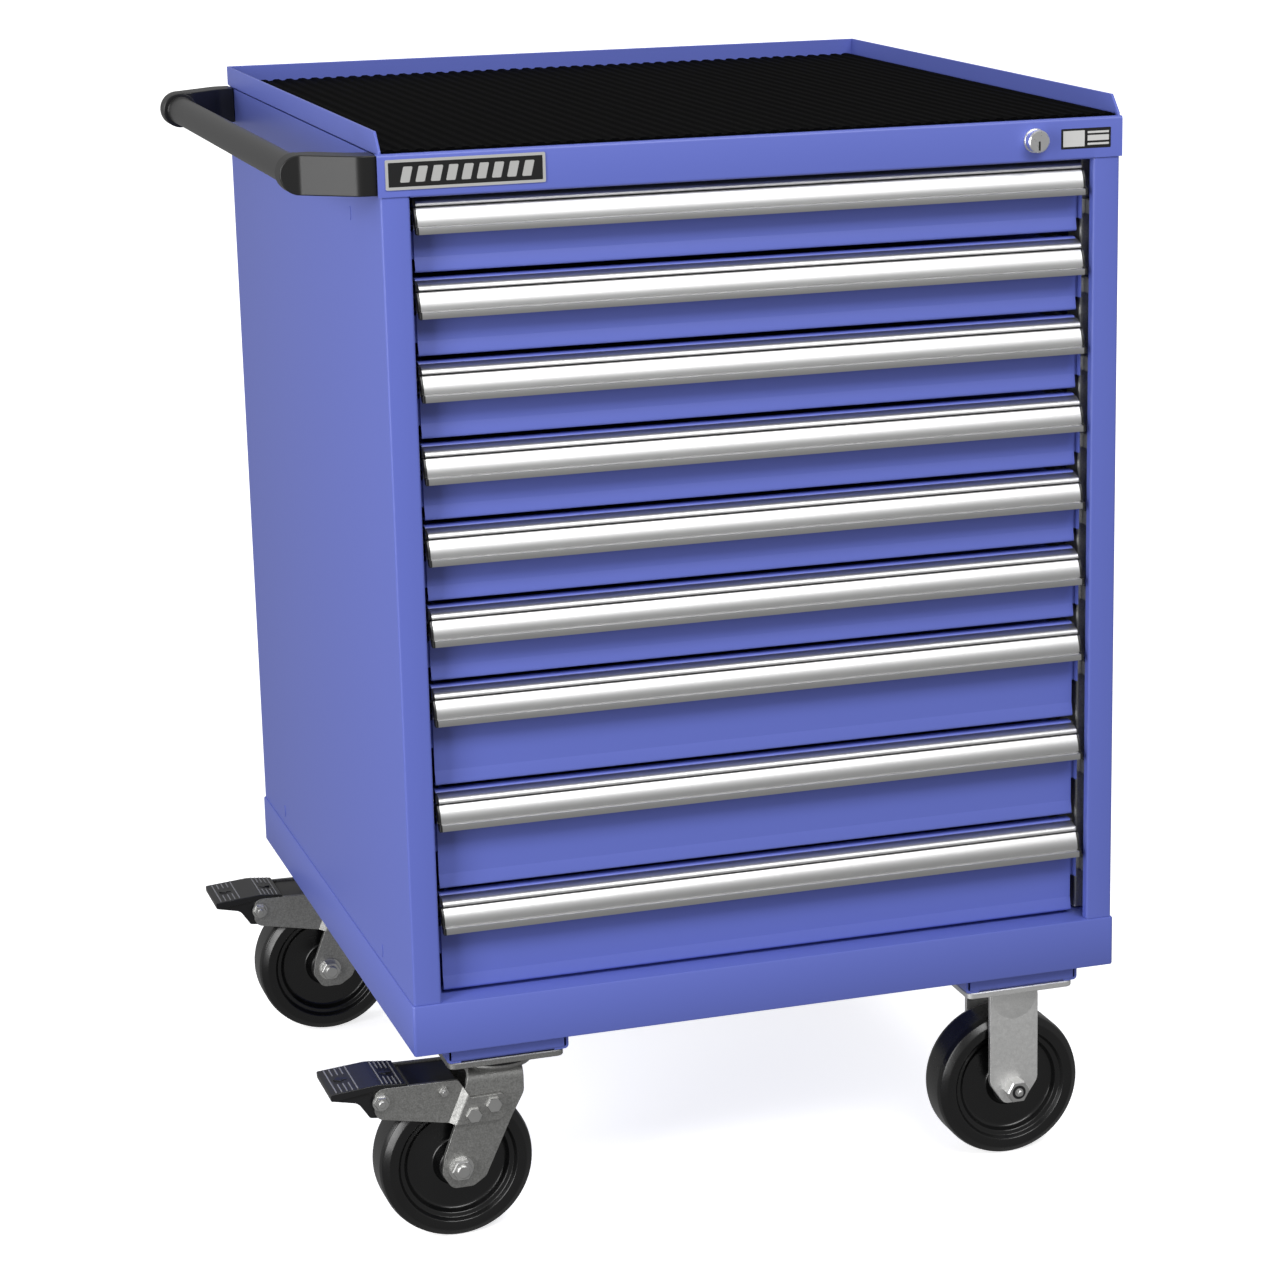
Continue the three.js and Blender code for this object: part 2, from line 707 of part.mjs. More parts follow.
// The pedal: a tread over the pivot, with side cheeks that wedge down to it and a web at the inner end.
function brakePedal(x, y) {
  const { half, webHalf, cheek, webRear, front, webFoot } = PEDAL;
  const cheeks = legPair(moved(CHEEK_POINTS, x), y, half, cheek);
  const tread = alongY(moved(TREAD_POINTS, x), y - half, y + half);
  const webHead = CHEEK_POINTS[2][1];
  const web = box(x + webRear, x + front, y - webHalf, y + webHalf, webFoot, webHead);
  return cut(join(...cheeks, tread, web), legBore(PIVOT.radius + GAP, x + PIVOT.x, y, PIVOT.z));
}

// The rigid caster's plate, crown and two straight legs.
function rigidBracket(x, y) {
  const { legOuter, legThickness, boltRadius } = CASTER;
  const { legHalf, chamfer, crownDrop, crownOverhang } = RIGID;
  const foot = AXLE_Z - RIGID.foot;
  const head = PLATE_FOOT + OVER;
  const leg = [
    [x - legHalf, head],
    [x - legHalf, foot + chamfer[1]],
    [x - legHalf + chamfer[0], foot],
    [x + legHalf - chamfer[0], foot],
    [x + legHalf, foot + chamfer[1]],
    [x + legHalf, head],
  ];
  const crownHalf = legHalf + crownOverhang;
  const crownFoot = PLATE_FOOT - crownDrop;
  const crown = box(x - crownHalf, x + crownHalf, y - legOuter, y + legOuter, crownFoot, head);
  const legs = legPair(leg, y, legOuter, legThickness);
  return cut(join(casterPlate(x, y), crown, ...legs), legBore(boltRadius + GAP, x, y, AXLE_Z));
}

// A solid-tread wheel: crowned tread, dished sides and a hub bored for the axle's sleeve. Its facets touch
// the circles they stand for, so that its lowest one is flat on the floor.
function wheel(x, y) {
  const { facets } = WHEEL;
  const stretch = 1 / Math.cos(Math.PI / facets);
  const profile = [...WHEEL_SIDE, ...WHEEL_SIDE.map(([r, h]) => [r, -h]).reverse()].reverse();
  const points = [...profile, profile[0]].map(([r, h]) => new THREE.Vector2(r * stretch, h));
  const turned = new THREE.LatheGeometry(points, facets, Math.PI / facets);
  return turned.translate(x, y, AXLE_Z);
}

// The axle: a bolt through the legs with a sleeve for the wheel to run on, a head and a nut.
function axle(x, y) {
  const { legOuter, legThickness, boltRadius, headRadius, headHeight } = CASTER;
  const inner = legOuter - legThickness - GAP;
  const near = legOuter + GAP;
  const sleeve = cylinderY(AXLE_SLEEVE_RADIUS, x, AXLE_Z, y - inner, y + inner, 16);
  const shank = cylinderY(boltRadius, x, AXLE_Z, y - near - headHeight, y + near + headHeight, 12);
  const heads = [y - near - headHeight, y + near].map((start) =>
    cylinderY(headRadius, x, AXLE_Z, start, start + headHeight, 6),
  );
  return join(sleeve, shank, ...heads);
}

// ---------- assembly ----------

const cabinet = new THREE.Group();

function add(parent, name, geometry, finish) {
  const mesh = new THREE.Mesh(geometry, new THREE.MeshStandardMaterial(finish));
  mesh.name = name;
  parent.add(mesh);
}

function addHousing() {
  add(cabinet, "left_side_panel", sidePanel(), BLUE);
  add(cabinet, "right_side_panel", mirrorX(sidePanel()), BLUE);
  add(cabinet, "back_panel", backPanel(), BLUE);
  add(cabinet, "base_frame", baseFrame(), BLUE);
  add(cabinet, "top_panel", topPanel(), BLUE);
  add(cabinet, "top_mat", topMat(), RUBBER);
  add(cabinet, "left_caster_channel", casterChannel(), BLUE);
  add(cabinet, "right_caster_channel", mirrorX(casterChannel()), BLUE);
  add(cabinet, "left_slide_frame", slideFrame(), ZINC);
  add(cabinet, "right_slide_frame", mirrorX(slideFrame()), ZINC);
  add(cabinet, "handle_grip", handleGrip(), BLACK);
  add(cabinet, "handle_bracket_front", handleBracket(), BLACK);
  add(cabinet, "handle_bracket_rear", mirrorY(handleBracket()), BLACK);
  add(cabinet, "lock_cylinder", lockCylinder(), CHROME);
  add(cabinet, "lock_bar", lockBar(), ZINC);
}

function addDrawers() {
  drawerTops.forEach((top, i) => {
    const name = `drawer_${i + 1}`;
    const drawer = new THREE.Group();
    add(drawer, `${name}_box`, drawerBox(top, DRAWER_HEIGHTS[i]), BLUE);
    add(drawer, `${name}_pull`, pull(top), ALUMINIUM);
    add(drawer, `${name}_carriage`, carriage(top), ZINC);
    cabinet.add(drawer);
  });
}

function addSwivelCaster(name, y) {
  const caster = new THREE.Group();
  const x = CASTER.leftX;
  add(caster, `${name}_plate`, swivelPlate(x, y), ZINC);
  add(caster, `${name}_fork`, swivelFork(x, y), ZINC);
  add(caster, `${name}_brake_bracket`, brakeBracket(x, y), ZINC);
  add(caster, `${name}_brake_pedal`, brakePedal(x, y), BLACK);
  add(caster, `${name}_wheel`, wheel(x - CASTER.trail, y), PHENOLIC);
  add(caster, `${name}_axle`, axle(x - CASTER.trail, y), ZINC);
  cabinet.add(caster);
}

function addRigidCaster(name, y) {
  const caster = new THREE.Group();
  const x = CASTER.rightX;
  add(caster, `${name}_bracket`, rigidBracket(x, y), ZINC);
  add(caster, `${name}_wheel`, wheel(x, y), PHENOLIC);
  add(caster, `${name}_axle`, axle(x, y), ZINC);
  cabinet.add(caster);
}

addHousing();
addDrawers();
const rows = { front: CASTER.fromEnd, rear: HOUSING.depth - CASTER.fromEnd };
Object.entries(rows).forEach(([row, y]) => {
  addSwivelCaster(`caster_${row}_left`, y);
  addRigidCaster(`caster_${row}_right`, y);
});

// The origin is the centre of the whole chest's plan, on the floor.
const bounds = new THREE.Box3().setFromObject(cabinet, true);
const centre = bounds.getCenter(new THREE.Vector3());
cabinet.position.set(-centre.x, -centre.y, -bounds.min.z);

const chest = new THREE.Group();
chest.add(cabinet);

export default chest;
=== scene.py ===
"""Looks of the rolling tool chest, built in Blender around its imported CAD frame.

Sizes are in millimetres in the cabinet's own layout: x = 0 at its left side, y = 0 at the face of its
front posts and z = 0 at the bottom of its base. Every mesh is moved to the row frame, in metres, when it
is shown.
"""

import math

import bmesh
import bpy
from mathutils import Matrix, Vector


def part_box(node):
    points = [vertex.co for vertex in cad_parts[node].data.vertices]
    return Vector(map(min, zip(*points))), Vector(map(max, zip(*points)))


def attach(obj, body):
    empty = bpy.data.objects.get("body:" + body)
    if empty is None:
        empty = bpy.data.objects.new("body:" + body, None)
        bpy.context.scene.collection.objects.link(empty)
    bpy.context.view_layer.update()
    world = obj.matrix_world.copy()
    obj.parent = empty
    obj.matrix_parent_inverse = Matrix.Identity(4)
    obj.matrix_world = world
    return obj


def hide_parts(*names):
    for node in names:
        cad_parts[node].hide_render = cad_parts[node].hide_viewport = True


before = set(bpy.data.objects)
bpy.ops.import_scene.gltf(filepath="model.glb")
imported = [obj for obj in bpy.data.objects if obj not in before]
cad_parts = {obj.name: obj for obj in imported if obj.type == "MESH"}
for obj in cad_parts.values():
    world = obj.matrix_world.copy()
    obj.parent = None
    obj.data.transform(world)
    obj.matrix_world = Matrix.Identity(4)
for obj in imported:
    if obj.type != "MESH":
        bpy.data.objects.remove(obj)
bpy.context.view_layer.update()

# ---------- driving dimensions ----------

MM = 0.001
ORIGIN = Vector((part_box("left_side_panel")[0].x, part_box("left_side_panel")[0].y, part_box("base_frame")[0].z))
TO_ROW = Matrix.Translation(ORIGIN) @ Matrix.Scale(MM, 4)

INCH = 25.4
WIDTH = 717.5
DEPTH = 28.5 * INCH
SHEET = 1.6
# How far the base, the top panel and the rear lip stand out past the side panels.
PROUD = 1.8
BASE_TOP = 2 * INCH
DRAWER_HEIGHTS = [inches * INCH for inches in (3, 3, 3, 3, 3, 3, 4, 4, 4)]
OPENING_TOP = BASE_TOP + sum(DRAWER_HEIGHTS)
DECK_TOP = OPENING_TOP + 1.5 * INCH
DECK_FOOT = DECK_TOP - SHEET
LIP_TOP = DECK_TOP + 0.75 * INCH
# How far the top of a side lip is set back from its foot at the front.
LIP_SLANT = 16
LIP_SHEET = 2.4
POST_WIDTH = 27
POST_RETURN = 9
REAR_FLANGE = 20
# Gap between the head of a side panel and the foot of its lip.
SEAM = 1.8

CHANNEL = {"inset": 32, "width": 120.5, "drop": 5 / 8 * INCH, "sheet": 2.5, "end": 9.5, "fold": 14}

# Drawers: y of a front's face and of its flared foot, then the measures of the other parts.
FRONT_FACE = 24
FLARE_FACE = 20.8
FLARE_HEIGHT = 13.8
FRONT_GAP = 3.9
FRONT_TOP_DROP = 1.8
FRONT_ENDS = (34.5, WIDTH - 34.5)
BOX_SIDES = (46, WIDTH - 46)
BOX_REAR = 684
PULL_CAP = 2.5

# Slides: their middle below a drawer's top, half their height, their ends, and where the uprights stand.
SLIDE_DROP = 20.5
SLIDE_HALF = 13
SLIDE_ENDS = (42, 676)
UPRIGHTS = (33, 340, 640)

HANDLE_Z = OPENING_TOP + 0.75 * INCH
HANDLE_REACH = 81
HANDLE_HALF = 18
GRIP_RADIUS = 14
GRIP_X = -(HANDLE_REACH - HANDLE_HALF)
# Where the grip and its collar begin.
GRIP_END = 55
COLLAR_Y = 62

LOCK_X = 629
LOCK_BAR_X = 694
# Plates on the fascia, as (x0, x1, z0, z1).
NAME_PLATE = (5, 152, 819, 846)
LABEL = (656, 707, 822, 841)

# Casters: where they stand, how far a swivel wheel trails behind its kingpin, and their heights.
CASTER_LEFT_X = 91
CASTER_RIGHT_X = 624
CASTER_ROWS = {"front": 61, "rear": DEPTH - 61}
TRAIL = 45.5
PLATE_TOP = -CHANNEL["drop"] - 0.3
PLATE_FOOT = PLATE_TOP - 6.3
WHEEL_RADIUS = 3 * INCH
AXLE_Z = -CHANNEL["drop"] - 7.5 * INCH + WHEEL_RADIUS
# Legs: half their width over all, and their sheet.
LEG_OUTER = 34.5
LEG_SHEET = 5.5
CROWN_TOP = PLATE_FOOT - 5.3
FORK_TOP = CROWN_TOP - 8.5
# How far the nut and head of a rigid caster's bolt stand out from its legs.
LONG_NUT = 13.5

# The brake's pins, as x from the kingpin and z.
BRAKE_PIVOT = (-121, -52)
BRAKE_SPRING = (-59.5, -49.5)
BRAKE_BOLTS = ((-32, -75), (-12, -67))

# ---------- materials ----------


def spread(tree, value, source, target):
    """Maps a value from a source range to a target range and returns the result's socket."""
    node = tree.nodes.new("ShaderNodeMapRange")
    node.inputs["From Min"].default_value, node.inputs["From Max"].default_value = source
    node.inputs["To Min"].default_value, node.inputs["To Max"].default_value = target
    tree.links.new(value, node.inputs["Value"])
    return node.outputs["Result"]


class Look:
    """A node material: a principled shader with uniform values on it, and grain added by noise."""

    def __init__(self, name, color, roughness, metallic=0.0, **extra):
        self.material = bpy.data.materials.new(name)
        self.material.use_nodes = True
        self.tree = self.material.node_tree
        self.shader = self.tree.nodes["Principled BSDF"]
        self.set("Base Color", (*color, 1.0))
        self.set("Roughness", roughness)
        self.set("Metallic", metallic)
        for socket, value in extra.items():
            self.set(socket.replace("_", " ").title().replace("Ior", "IOR"), value)
        self.coordinates = self.tree.nodes.new("ShaderNodeTexCoord")

    def set(self, socket, value):
        self.shader.inputs[socket].default_value = value

    def noise(self, scale, detail=3.0, stretch=(1, 1, 1)):
        """A noise texture's value, in object space, with scale features to the metre."""
        mapping = self.tree.nodes.new("ShaderNodeMapping")
        mapping.inputs["Scale"].default_value = stretch
        self.tree.links.new(self.coordinates.outputs["Object"], mapping.inputs["Vector"])
        texture = self.tree.nodes.new("ShaderNodeTexNoise")
        texture.inputs["Scale"].default_value = scale
        texture.inputs["Detail"].default_value = detail
        self.tree.links.new(mapping.outputs["Vector"], texture.inputs["Vector"])
        return texture.outputs["Fac"]

    def vary(self, socket, value, low, high):
        """Drives a value socket by noise, between low and high."""
        self.tree.links.new(spread(self.tree, value, (0.3, 0.7), (low, high)), self.shader.inputs[socket])
        return self

    def tint(self, value, dark, light):
        """Drives the base colour by noise, between two colours."""
        ramp = self.tree.nodes.new("ShaderNodeValToRGB")
        ramp.color_ramp.elements[0].position = 0.35
        ramp.color_ramp.elements[0].color = (*dark, 1.0)
        ramp.color_ramp.elements[1].position = 0.65
        ramp.color_ramp.elements[1].color = (*light, 1.0)
        self.tree.links.new(value, ramp.inputs["Fac"])
        self.tree.links.new(ramp.outputs["Color"], self.shader.inputs["Base Color"])
        return self

    def bump(self, value, strength, distance=0.0004):
        relief = self.tree.nodes.new("ShaderNodeBump")
        relief.inputs["Strength"].default_value = strength
        relief.inputs["Distance"].default_value = distance
        self.tree.links.new(value, relief.inputs["Height"])
        self.tree.links.new(relief.outputs["Normal"], self.shader.inputs["Normal"])
        return self


def grained(name, color, roughness, scale, detail, strength, metallic=0.0, **extra):
    """A material with a fine relief all over."""
    look = Look(name, color, roughness, metallic, **extra)
    return look.bump(look.noise(scale, detail), strength).material


def clouded(name, color, roughness, scale, low, high, metallic=0.0, **extra):
    """A material whose roughness varies softly between low and high."""
    look = Look(name, color, roughness, metallic, **extra)
    return look.vary("Roughness", look.noise(scale), low, high).material


def brushed_aluminium():
    look = Look("brushed_aluminium", (0.59, 0.59, 0.59), 0.41, 1.0)
    lines = look.noise(1, 4, (3, 5200, 5200))
    look.vary("Roughness", lines, 0.38, 0.44)
    return look.bump(lines, 0.02, 0.0001).material


def zinc_steel(name, dark, light):
    look = Look(name, light, 0.5, 1.0)
    look.tint(look.noise(700, 4), dark, light)
    look.vary("Roughness", look.noise(240), 0.46, 0.56)
    return look.bump(look.noise(1400, 2), 0.12).material


BLUE = grained("blue_paint", (0.12, 0.157, 0.55), 0.42, 620, 2, 0.05, coat_weight=0.12, coat_roughness=0.3)
ALUMINIUM = brushed_aluminium()
ZINC = zinc_steel("zinc_steel", (0.46, 0.46, 0.45), (0.58, 0.58, 0.57))
# A lighter and a darker copy of the zinc steel: painted light on the rigid casters, painted shade on the swivel
# casters and the drawers' runners and rails.
ZINC_PAINTED_LIGHT = zinc_steel("zinc_steel_painted_light", (0.84, 0.84, 0.83), (0.92, 0.92, 0.91))
ZINC_PAINTED_SHADE = zinc_steel("zinc_steel_painted_shade", (0.3, 0.3, 0.29), (0.44, 0.44, 0.43))
BRIGHT = clouded("bright_zinc", (0.66, 0.66, 0.65), 0.34, 60, 0.32, 0.36, 1.0)
PLATE_SILVER = grained("plate_silver", (0.5, 0.5, 0.49), 0.35, 900, 2, 0.05, 0.2)
CHROME = clouded("chrome", (0.92, 0.92, 0.92), 0.3, 300, 0.26, 0.34, 1.0)
MAT_RUBBER = grained("mat_rubber", (0.0018, 0.0018, 0.0019), 0.8, 900, 3, 0.2, specular_ior_level=0.02)
GRIP_RUBBER = grained("grip_rubber", (0.008, 0.008, 0.0085), 0.3, 1100, 2, 0.08)
# Satin black for the handle's ends and the brake cover, also used on the swivel plate's race as painted shade.
SATIN_BLACK_AND_SHADE = grained("satin_black_and_shade", (0.007, 0.007, 0.007), 0.36, 1000, 2, 0.05, specular_ior_level=0.45)
# Black plastic, also used for the discs on the rigid caster's nut ends as painted shade.
BLACK_PLASTIC_AND_SHADE = grained("black_plastic", (0.008, 0.008, 0.009), 0.34, 1200, 3, 0.1)
RIB_PLASTIC = grained("rib_plastic", (0.24, 0.24, 0.25), 0.36, 1200, 3, 0.1)
PHENOLIC = clouded("wheel_phenolic", (0.0022, 0.0022, 0.0024), 0.26, 60, 0.23, 0.3, specular_ior_level=0.6)
LABEL_WHITE = grained("label_white", (0.62, 0.62, 0.61), 0.4, 900, 2, 0.05)
# Black for the plates' print, also used in the pulls' slots and the key's slot as painted shade.
PRINT_BLACK_AND_SHADE = grained("print_black_and_shade", (0.006, 0.006, 0.0065), 0.4, 900, 2, 0.05)

# ---------- mesh helpers ----------

# Where an outline's own two axes and its depth go, and where to find them again in a point.
AXES = {
    "X": lambda u, v, w: (w, u, v),
    "Y": lambda u, v, w: (u, w, v),
    "Z": lambda u, v, w: (u, v, w),
}
ORDER = {"X": (1, 2, 0), "Y": (0, 2, 1), "Z": (0, 1, 2)}


class Shells:
    """Closed shells gathered into one mesh."""

    def __init__(self):
        self.mesh = bmesh.new()

    def skin(self, rows, ring=False):
        """Joins equal closed rows of points in turn.

        The ends are capped, or the last row of a ring meets its first.
        """
        made = [[self.mesh.verts.new(point) for point in row] for row in rows]
        pairs = list(zip(made, made[1:]))
        if ring:
            pairs.append((made[-1], made[0]))
        else:
            self.mesh.faces.new(made[0])
            self.mesh.faces.new(made[-1])
        for near, far in pairs:
            for i, vertex in enumerate(near):
                j = (i + 1) % len(near)
                self.mesh.faces.new((vertex, near[j], far[j], far[i]))
        return self

    def prism(self, outline, axis, start, end):
        place = AXES[axis]
        return self.skin([[place(u, v, w) for u, v in outline] for w in (start, end)])

    def box(self, x0, x1, y0, y1, z0, z1):
        return self.prism([(x0, y0), (x1, y0), (x1, y1), (x0, y1)], "Z", z0, z1)

    def turn(self, profile, axis, centre, sides=40, ring=False):
        """Turns a profile of (radius, distance along the axis) points about an axis through centre."""
        place = AXES[axis]
        u, v, w = (centre[i] for i in ORDER[axis])
        angles = [2 * math.pi * i / sides for i in range(sides)]
        rows = []
        for r, h in profile:
            rows.append([place(u + r * math.cos(a), v + r * math.sin(a), w + h) for a in angles])
        return self.skin(rows, ring)

    def pan(self, rectangle, section, radius=2.0):
        """A capped shell through the same rounded rectangle at each (inset, height) of a section."""
        x0, x1, y0, y1 = rectangle
        rows = []
        for inset, z in section:
            r = max(radius - inset, 0.05)
            corners = [(x0, y0), (x1, y0), (x1, y1), (x0, y1)]
            signs = [(1, 1), (-1, 1), (-1, -1), (1, -1)]
            inner = [(x + sx * inset, y + sy * inset, r) for (x, y), (sx, sy) in zip(corners, signs)]
            rows.append([(x, y, z) for x, y in rounded(inner, 4)])
        return self.skin(rows)

    def join(self, other):
        data = bpy.data.meshes.new("joined")
        other.mesh.to_mesh(data)
        other.mesh.free()
        self.mesh.from_mesh(data)
        bpy.data.meshes.remove(data)
        return self

    def mirrored(self, axis, about):
        """The same shells seen in a mirror that crosses an axis at about."""
        copy = Shells()
        copy.mesh = self.mesh.copy()
        normal = {"X": Vector((1, 0, 0)), "Y": Vector((0, 1, 0))}[axis]
        flip = Matrix.Translation(2 * about * normal) @ Matrix.Scale(-1, 4, normal)
        copy.mesh.transform(flip)
        return copy

    def carved(self, tool, operation):
        """These shells after an exact boolean with others, which are used up."""
        parts = []
        for shells in (self, tool):
            bmesh.ops.recalc_face_normals(shells.mesh, faces=shells.mesh.faces)
            data = bpy.data.meshes.new("part")
            shells.mesh.to_mesh(data)
            shells.mesh.free()
            part = bpy.data.objects.new("part", data)
            bpy.context.scene.collection.objects.link(part)
            parts.append(part)
        modifier = parts[0].modifiers.new("carve", "BOOLEAN")
        modifier.operation = operation
        modifier.solver = "EXACT"
        modifier.object = parts[1]
        result = parts[0].evaluated_get(bpy.context.evaluated_depsgraph_get())
        self.mesh = bmesh.new()
        self.mesh.from_mesh(result.to_mesh())
        for part in parts:
            data = part.data
            bpy.data.objects.remove(part)
            bpy.data.meshes.remove(data)
        bmesh.ops.remove_doubles(self.mesh, verts=self.mesh.verts, dist=0.001)
        bmesh.ops.dissolve_limit(
            self.mesh, angle_limit=math.radians(0.5), verts=self.mesh.verts, edges=self.mesh.edges
        )
        return self


def fillet(before, corner, after, radius, steps):
    """Points of the arc that rounds a corner between two straight runs."""
    to_before = (before - corner).normalized()
    to_after = (after - corner).normalized()
    half = to_before.angle(to_after) / 2
    if radius <= 0 or half > math.radians(89):
        return [corner]
    centre = corner + (to_before + to_after).normalized() * radius / math.sin(half)
    start = corner + to_before * radius / math.tan(half) - centre
    end = corner + to_after * radius / math.tan(half) - centre
    sweep = start.angle(end)
    arc = []
    for i in range(steps + 1):
        share = i / steps
        from_start = math.sin(sweep * (1 - share)) / math.sin(sweep)
        from_end = math.sin(sweep * share) / math.sin(sweep)
        arc.append(centre + start * from_start + end * from_end)
    return arc


def rounded(corners, steps=5):
    """Closed outline through (u, v, radius) corners."""
    points = [Vector(corner[:2]) for corner in corners]
    outline = []
    for i, (_, _, radius) in enumerate(corners):
        outline += fillet(points[i - 1], points[i], points[(i + 1) % len(points)], radius, steps)
    return [tuple(point) for point in outline]


def folded(path, thickness, bend=0.8, steps=4):
    """Closed outline of a sheet folded along a path, with its thickness to the left of the path."""
    points = [Vector(point) for point in path]
    runs = [(b - a).normalized() for a, b in zip(points, points[1:])]
    normals = [Vector((-run.y, run.x)) for run in runs]
    near = [points[0]]
    far = [points[0] + normals[0] * thickness]
    offsets = [(a + b) / (1 + a.dot(b)) * thickness for a, b in zip(normals, normals[1:])]
    inner = [points[0] + normals[0] * thickness]
    inner += [point + offset for point, offset in zip(points[1:], offsets)]
    inner.append(points[-1] + normals[-1] * thickness)
    for i in range(1, len(points) - 1):
        turns_left = runs[i - 1].cross(runs[i]) > 0
        near_radius = bend + thickness if turns_left else bend
        far_radius = bend if turns_left else bend + thickness
        near += fillet(points[i - 1], points[i], points[i + 1], near_radius, steps)
        far += fillet(inner[i - 1], inner[i], inner[i + 1], far_radius, steps)
    near.append(points[-1])
    far.append(inner[-1])
    return [tuple(point) for point in near + far[::-1]]


def show(shells, name, material, body, replaced=(), bevel=0.0, segments=2, soft_angle=32):
    """Puts shells in the scene as one piece that rides on a body and stands for the named CAD nodes."""
    mesh = shells.mesh
    bmesh.ops.recalc_face_normals(mesh, faces=mesh.faces)
    mesh.transform(TO_ROW)
    for face in mesh.faces:
        face.smooth = True
    if not bevel:
        for edge in mesh.edges:
            edge.smooth = edge.calc_face_angle(0.0) < math.radians(soft_angle)
    data = bpy.data.meshes.new(name)
    mesh.to_mesh(data)
    mesh.free()
    data.materials.append(material)
    piece = bpy.data.objects.new(name, data)
    bpy.context.scene.collection.objects.link(piece)
    if bevel:
        edges = piece.modifiers.new("edges", "BEVEL")
        edges.width = bevel * MM
        edges.segments = segments
        edges.limit_method = "ANGLE"
        edges.angle_limit = math.radians(soft_angle)
        edges.use_clamp_overlap = False
        edges.harden_normals = True
    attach(piece, body)
    if replaced:
        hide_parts(*replaced)
    return piece


def hex_head(shells, axis, centre, across, start, end):
    """A six-sided bolt head or nut with a turned-down outer face."""
    radius = across / 2 / math.cos(math.pi / 6)
    w = centre[ORDER[axis][2]]
    out = math.copysign(1.0, end - start)
    profile = [(radius, start - w), (radius, end - w - out * 1.2), (radius * 0.9, end - w)]
    return shells.turn(profile, axis, centre, 6)


def washer(shells, axis, centre, radius, start, end):
    w = centre[ORDER[axis][2]]
    return shells.turn([(radius, start - w), (radius, end - w)], axis, centre, 32)


# ---------- housing ----------


def lance_mark(shells, y, z, height=13):
    """A shallow curved mark where a slide's hook is pressed against the side from inside."""
    arc = [math.radians(a) for a in range(-40, 41, 8)]
    radius = height / 2 / math.sin(arc[-1])
    outer = [(y + radius - radius * math.cos(a), z + radius * math.sin(a)) for a in arc]
    inner = [(y + radius + 0.9 - radius * math.cos(a) * 0.985, z + radius * math.sin(a) * 0.96) for a in arc]
    return shells.prism(outer + inner[::-1], "X", -0.45, 0.3)


def side_panel():
    path = [(REAR_FLANGE, DEPTH), (0, DEPTH), (0, 0), (POST_WIDTH, 0), (POST_WIDTH, POST_RETURN)]
    shells = Shells().prism(folded(path, SHEET), "Z", BASE_TOP + 0.3, DECK_TOP - 0.6 - SEAM)
    for y, z in ((125, 784), (128, 63), (605, 67)):
        lance_mark(shells, y, z)
    return shells


def back_panel():
    inset = REAR_FLANGE + 0.3
    path = [(WIDTH - inset, DEPTH - 12), (WIDTH - inset, DEPTH), (inset, DEPTH), (inset, DEPTH - 12)]
    shells = Shells().prism(folded(path, SHEET), "Z", BASE_TOP + 0.3, DECK_FOOT - 0.3)
    # Dimples of the spot welds that hold the pan to the sides' flanges.
    for x in (REAR_FLANGE / 2, WIDTH - REAR_FLANGE / 2):
        for z in range(90, 830, 105):
            shells.turn([(4.5, -0.2), (4.2, 0.25), (3.2, 0.45)], "Y", (x, DEPTH, z), 24)
    return shells


def base_frame():
    rectangle = (-PROUD, WIDTH + PROUD, -PROUD, DEPTH + PROUD)
    hem = 8
    section = [
        (SHEET, BASE_TOP - SHEET),
        (SHEET, SHEET + 0.6),
        (SHEET + 0.6, SHEET),
        (hem, SHEET),
        (hem + 0.5, SHEET / 2),
        (hem, 0),
        (1.6, 0),
        (0.5, 0.5),
        (0, 1.6),
        (0, BASE_TOP - 2.0),
        (0.6, BASE_TOP - 0.6),
        (2.0, BASE_TOP),
    ]
    return Shells().pan(rectangle, section, 3.0)


def top_panel():
    fold_foot = OPENING_TOP - 1.4
    head = [(6, DECK_TOP), (-PROUD, DECK_TOP)]
    over_opening = folded([*head, (-PROUD, fold_foot), (12, fold_foot)], SHEET, 1.2)
    over_post = folded([*head, (-PROUD, OPENING_TOP)], SHEET, 1.2)
    shells = Shells().prism(over_opening, "X", POST_WIDTH + 0.3, WIDTH - POST_WIDTH - 0.3)
    shells.prism(over_post, "X", -PROUD, POST_WIDTH + 0.3)
    shells.prism(over_post, "X", WIDTH - POST_WIDTH - 0.3, WIDTH + PROUD)
    shells.box(1.3, WIDTH - 1.3, 6, DEPTH + PROUD - 1.2, DECK_FOOT, DECK_TOP)
    return shells


def lips():
    foot = DECK_TOP - 0.6
    rear = DEPTH + PROUD
    side = [(0, foot), (rear, foot), (rear, LIP_TOP), (LIP_SLANT, LIP_TOP), (0.4, DECK_TOP + 3)]
    shells = Shells().prism(side, "X", 0, LIP_SHEET)
    shells.prism(side, "X", WIDTH - LIP_SHEET, WIDTH)
    shells.box(LIP_SHEET - 0.6, WIDTH - LIP_SHEET + 0.6, rear - LIP_SHEET, rear, foot, LIP_TOP)
    return shells


def top_mat():
    gap = 1.5
    x0, x1 = LIP_SHEET + gap, WIDTH - LIP_SHEET - gap
    foot = DECK_TOP + 0.3
    count = 51
    pitch = (x1 - x0) / count
    # One rib, as (share of the pitch, height) points from groove to groove.
    rib = [(0.0, 1.5), (0.16, 1.6), (0.26, 2.6), (0.32, 3.0), (0.68, 3.0), (0.74, 2.6), (0.84, 1.6)]
    ridge = [(x0 + (i + share) * pitch, foot + height) for i in range(count) for share, height in rib]
    outline = [(x0, foot), *ridge, (x1, foot + 1.5), (x1, foot)]
    return Shells().prism(outline, "Y", 3, DEPTH + PROUD - LIP_SHEET - 1.2)


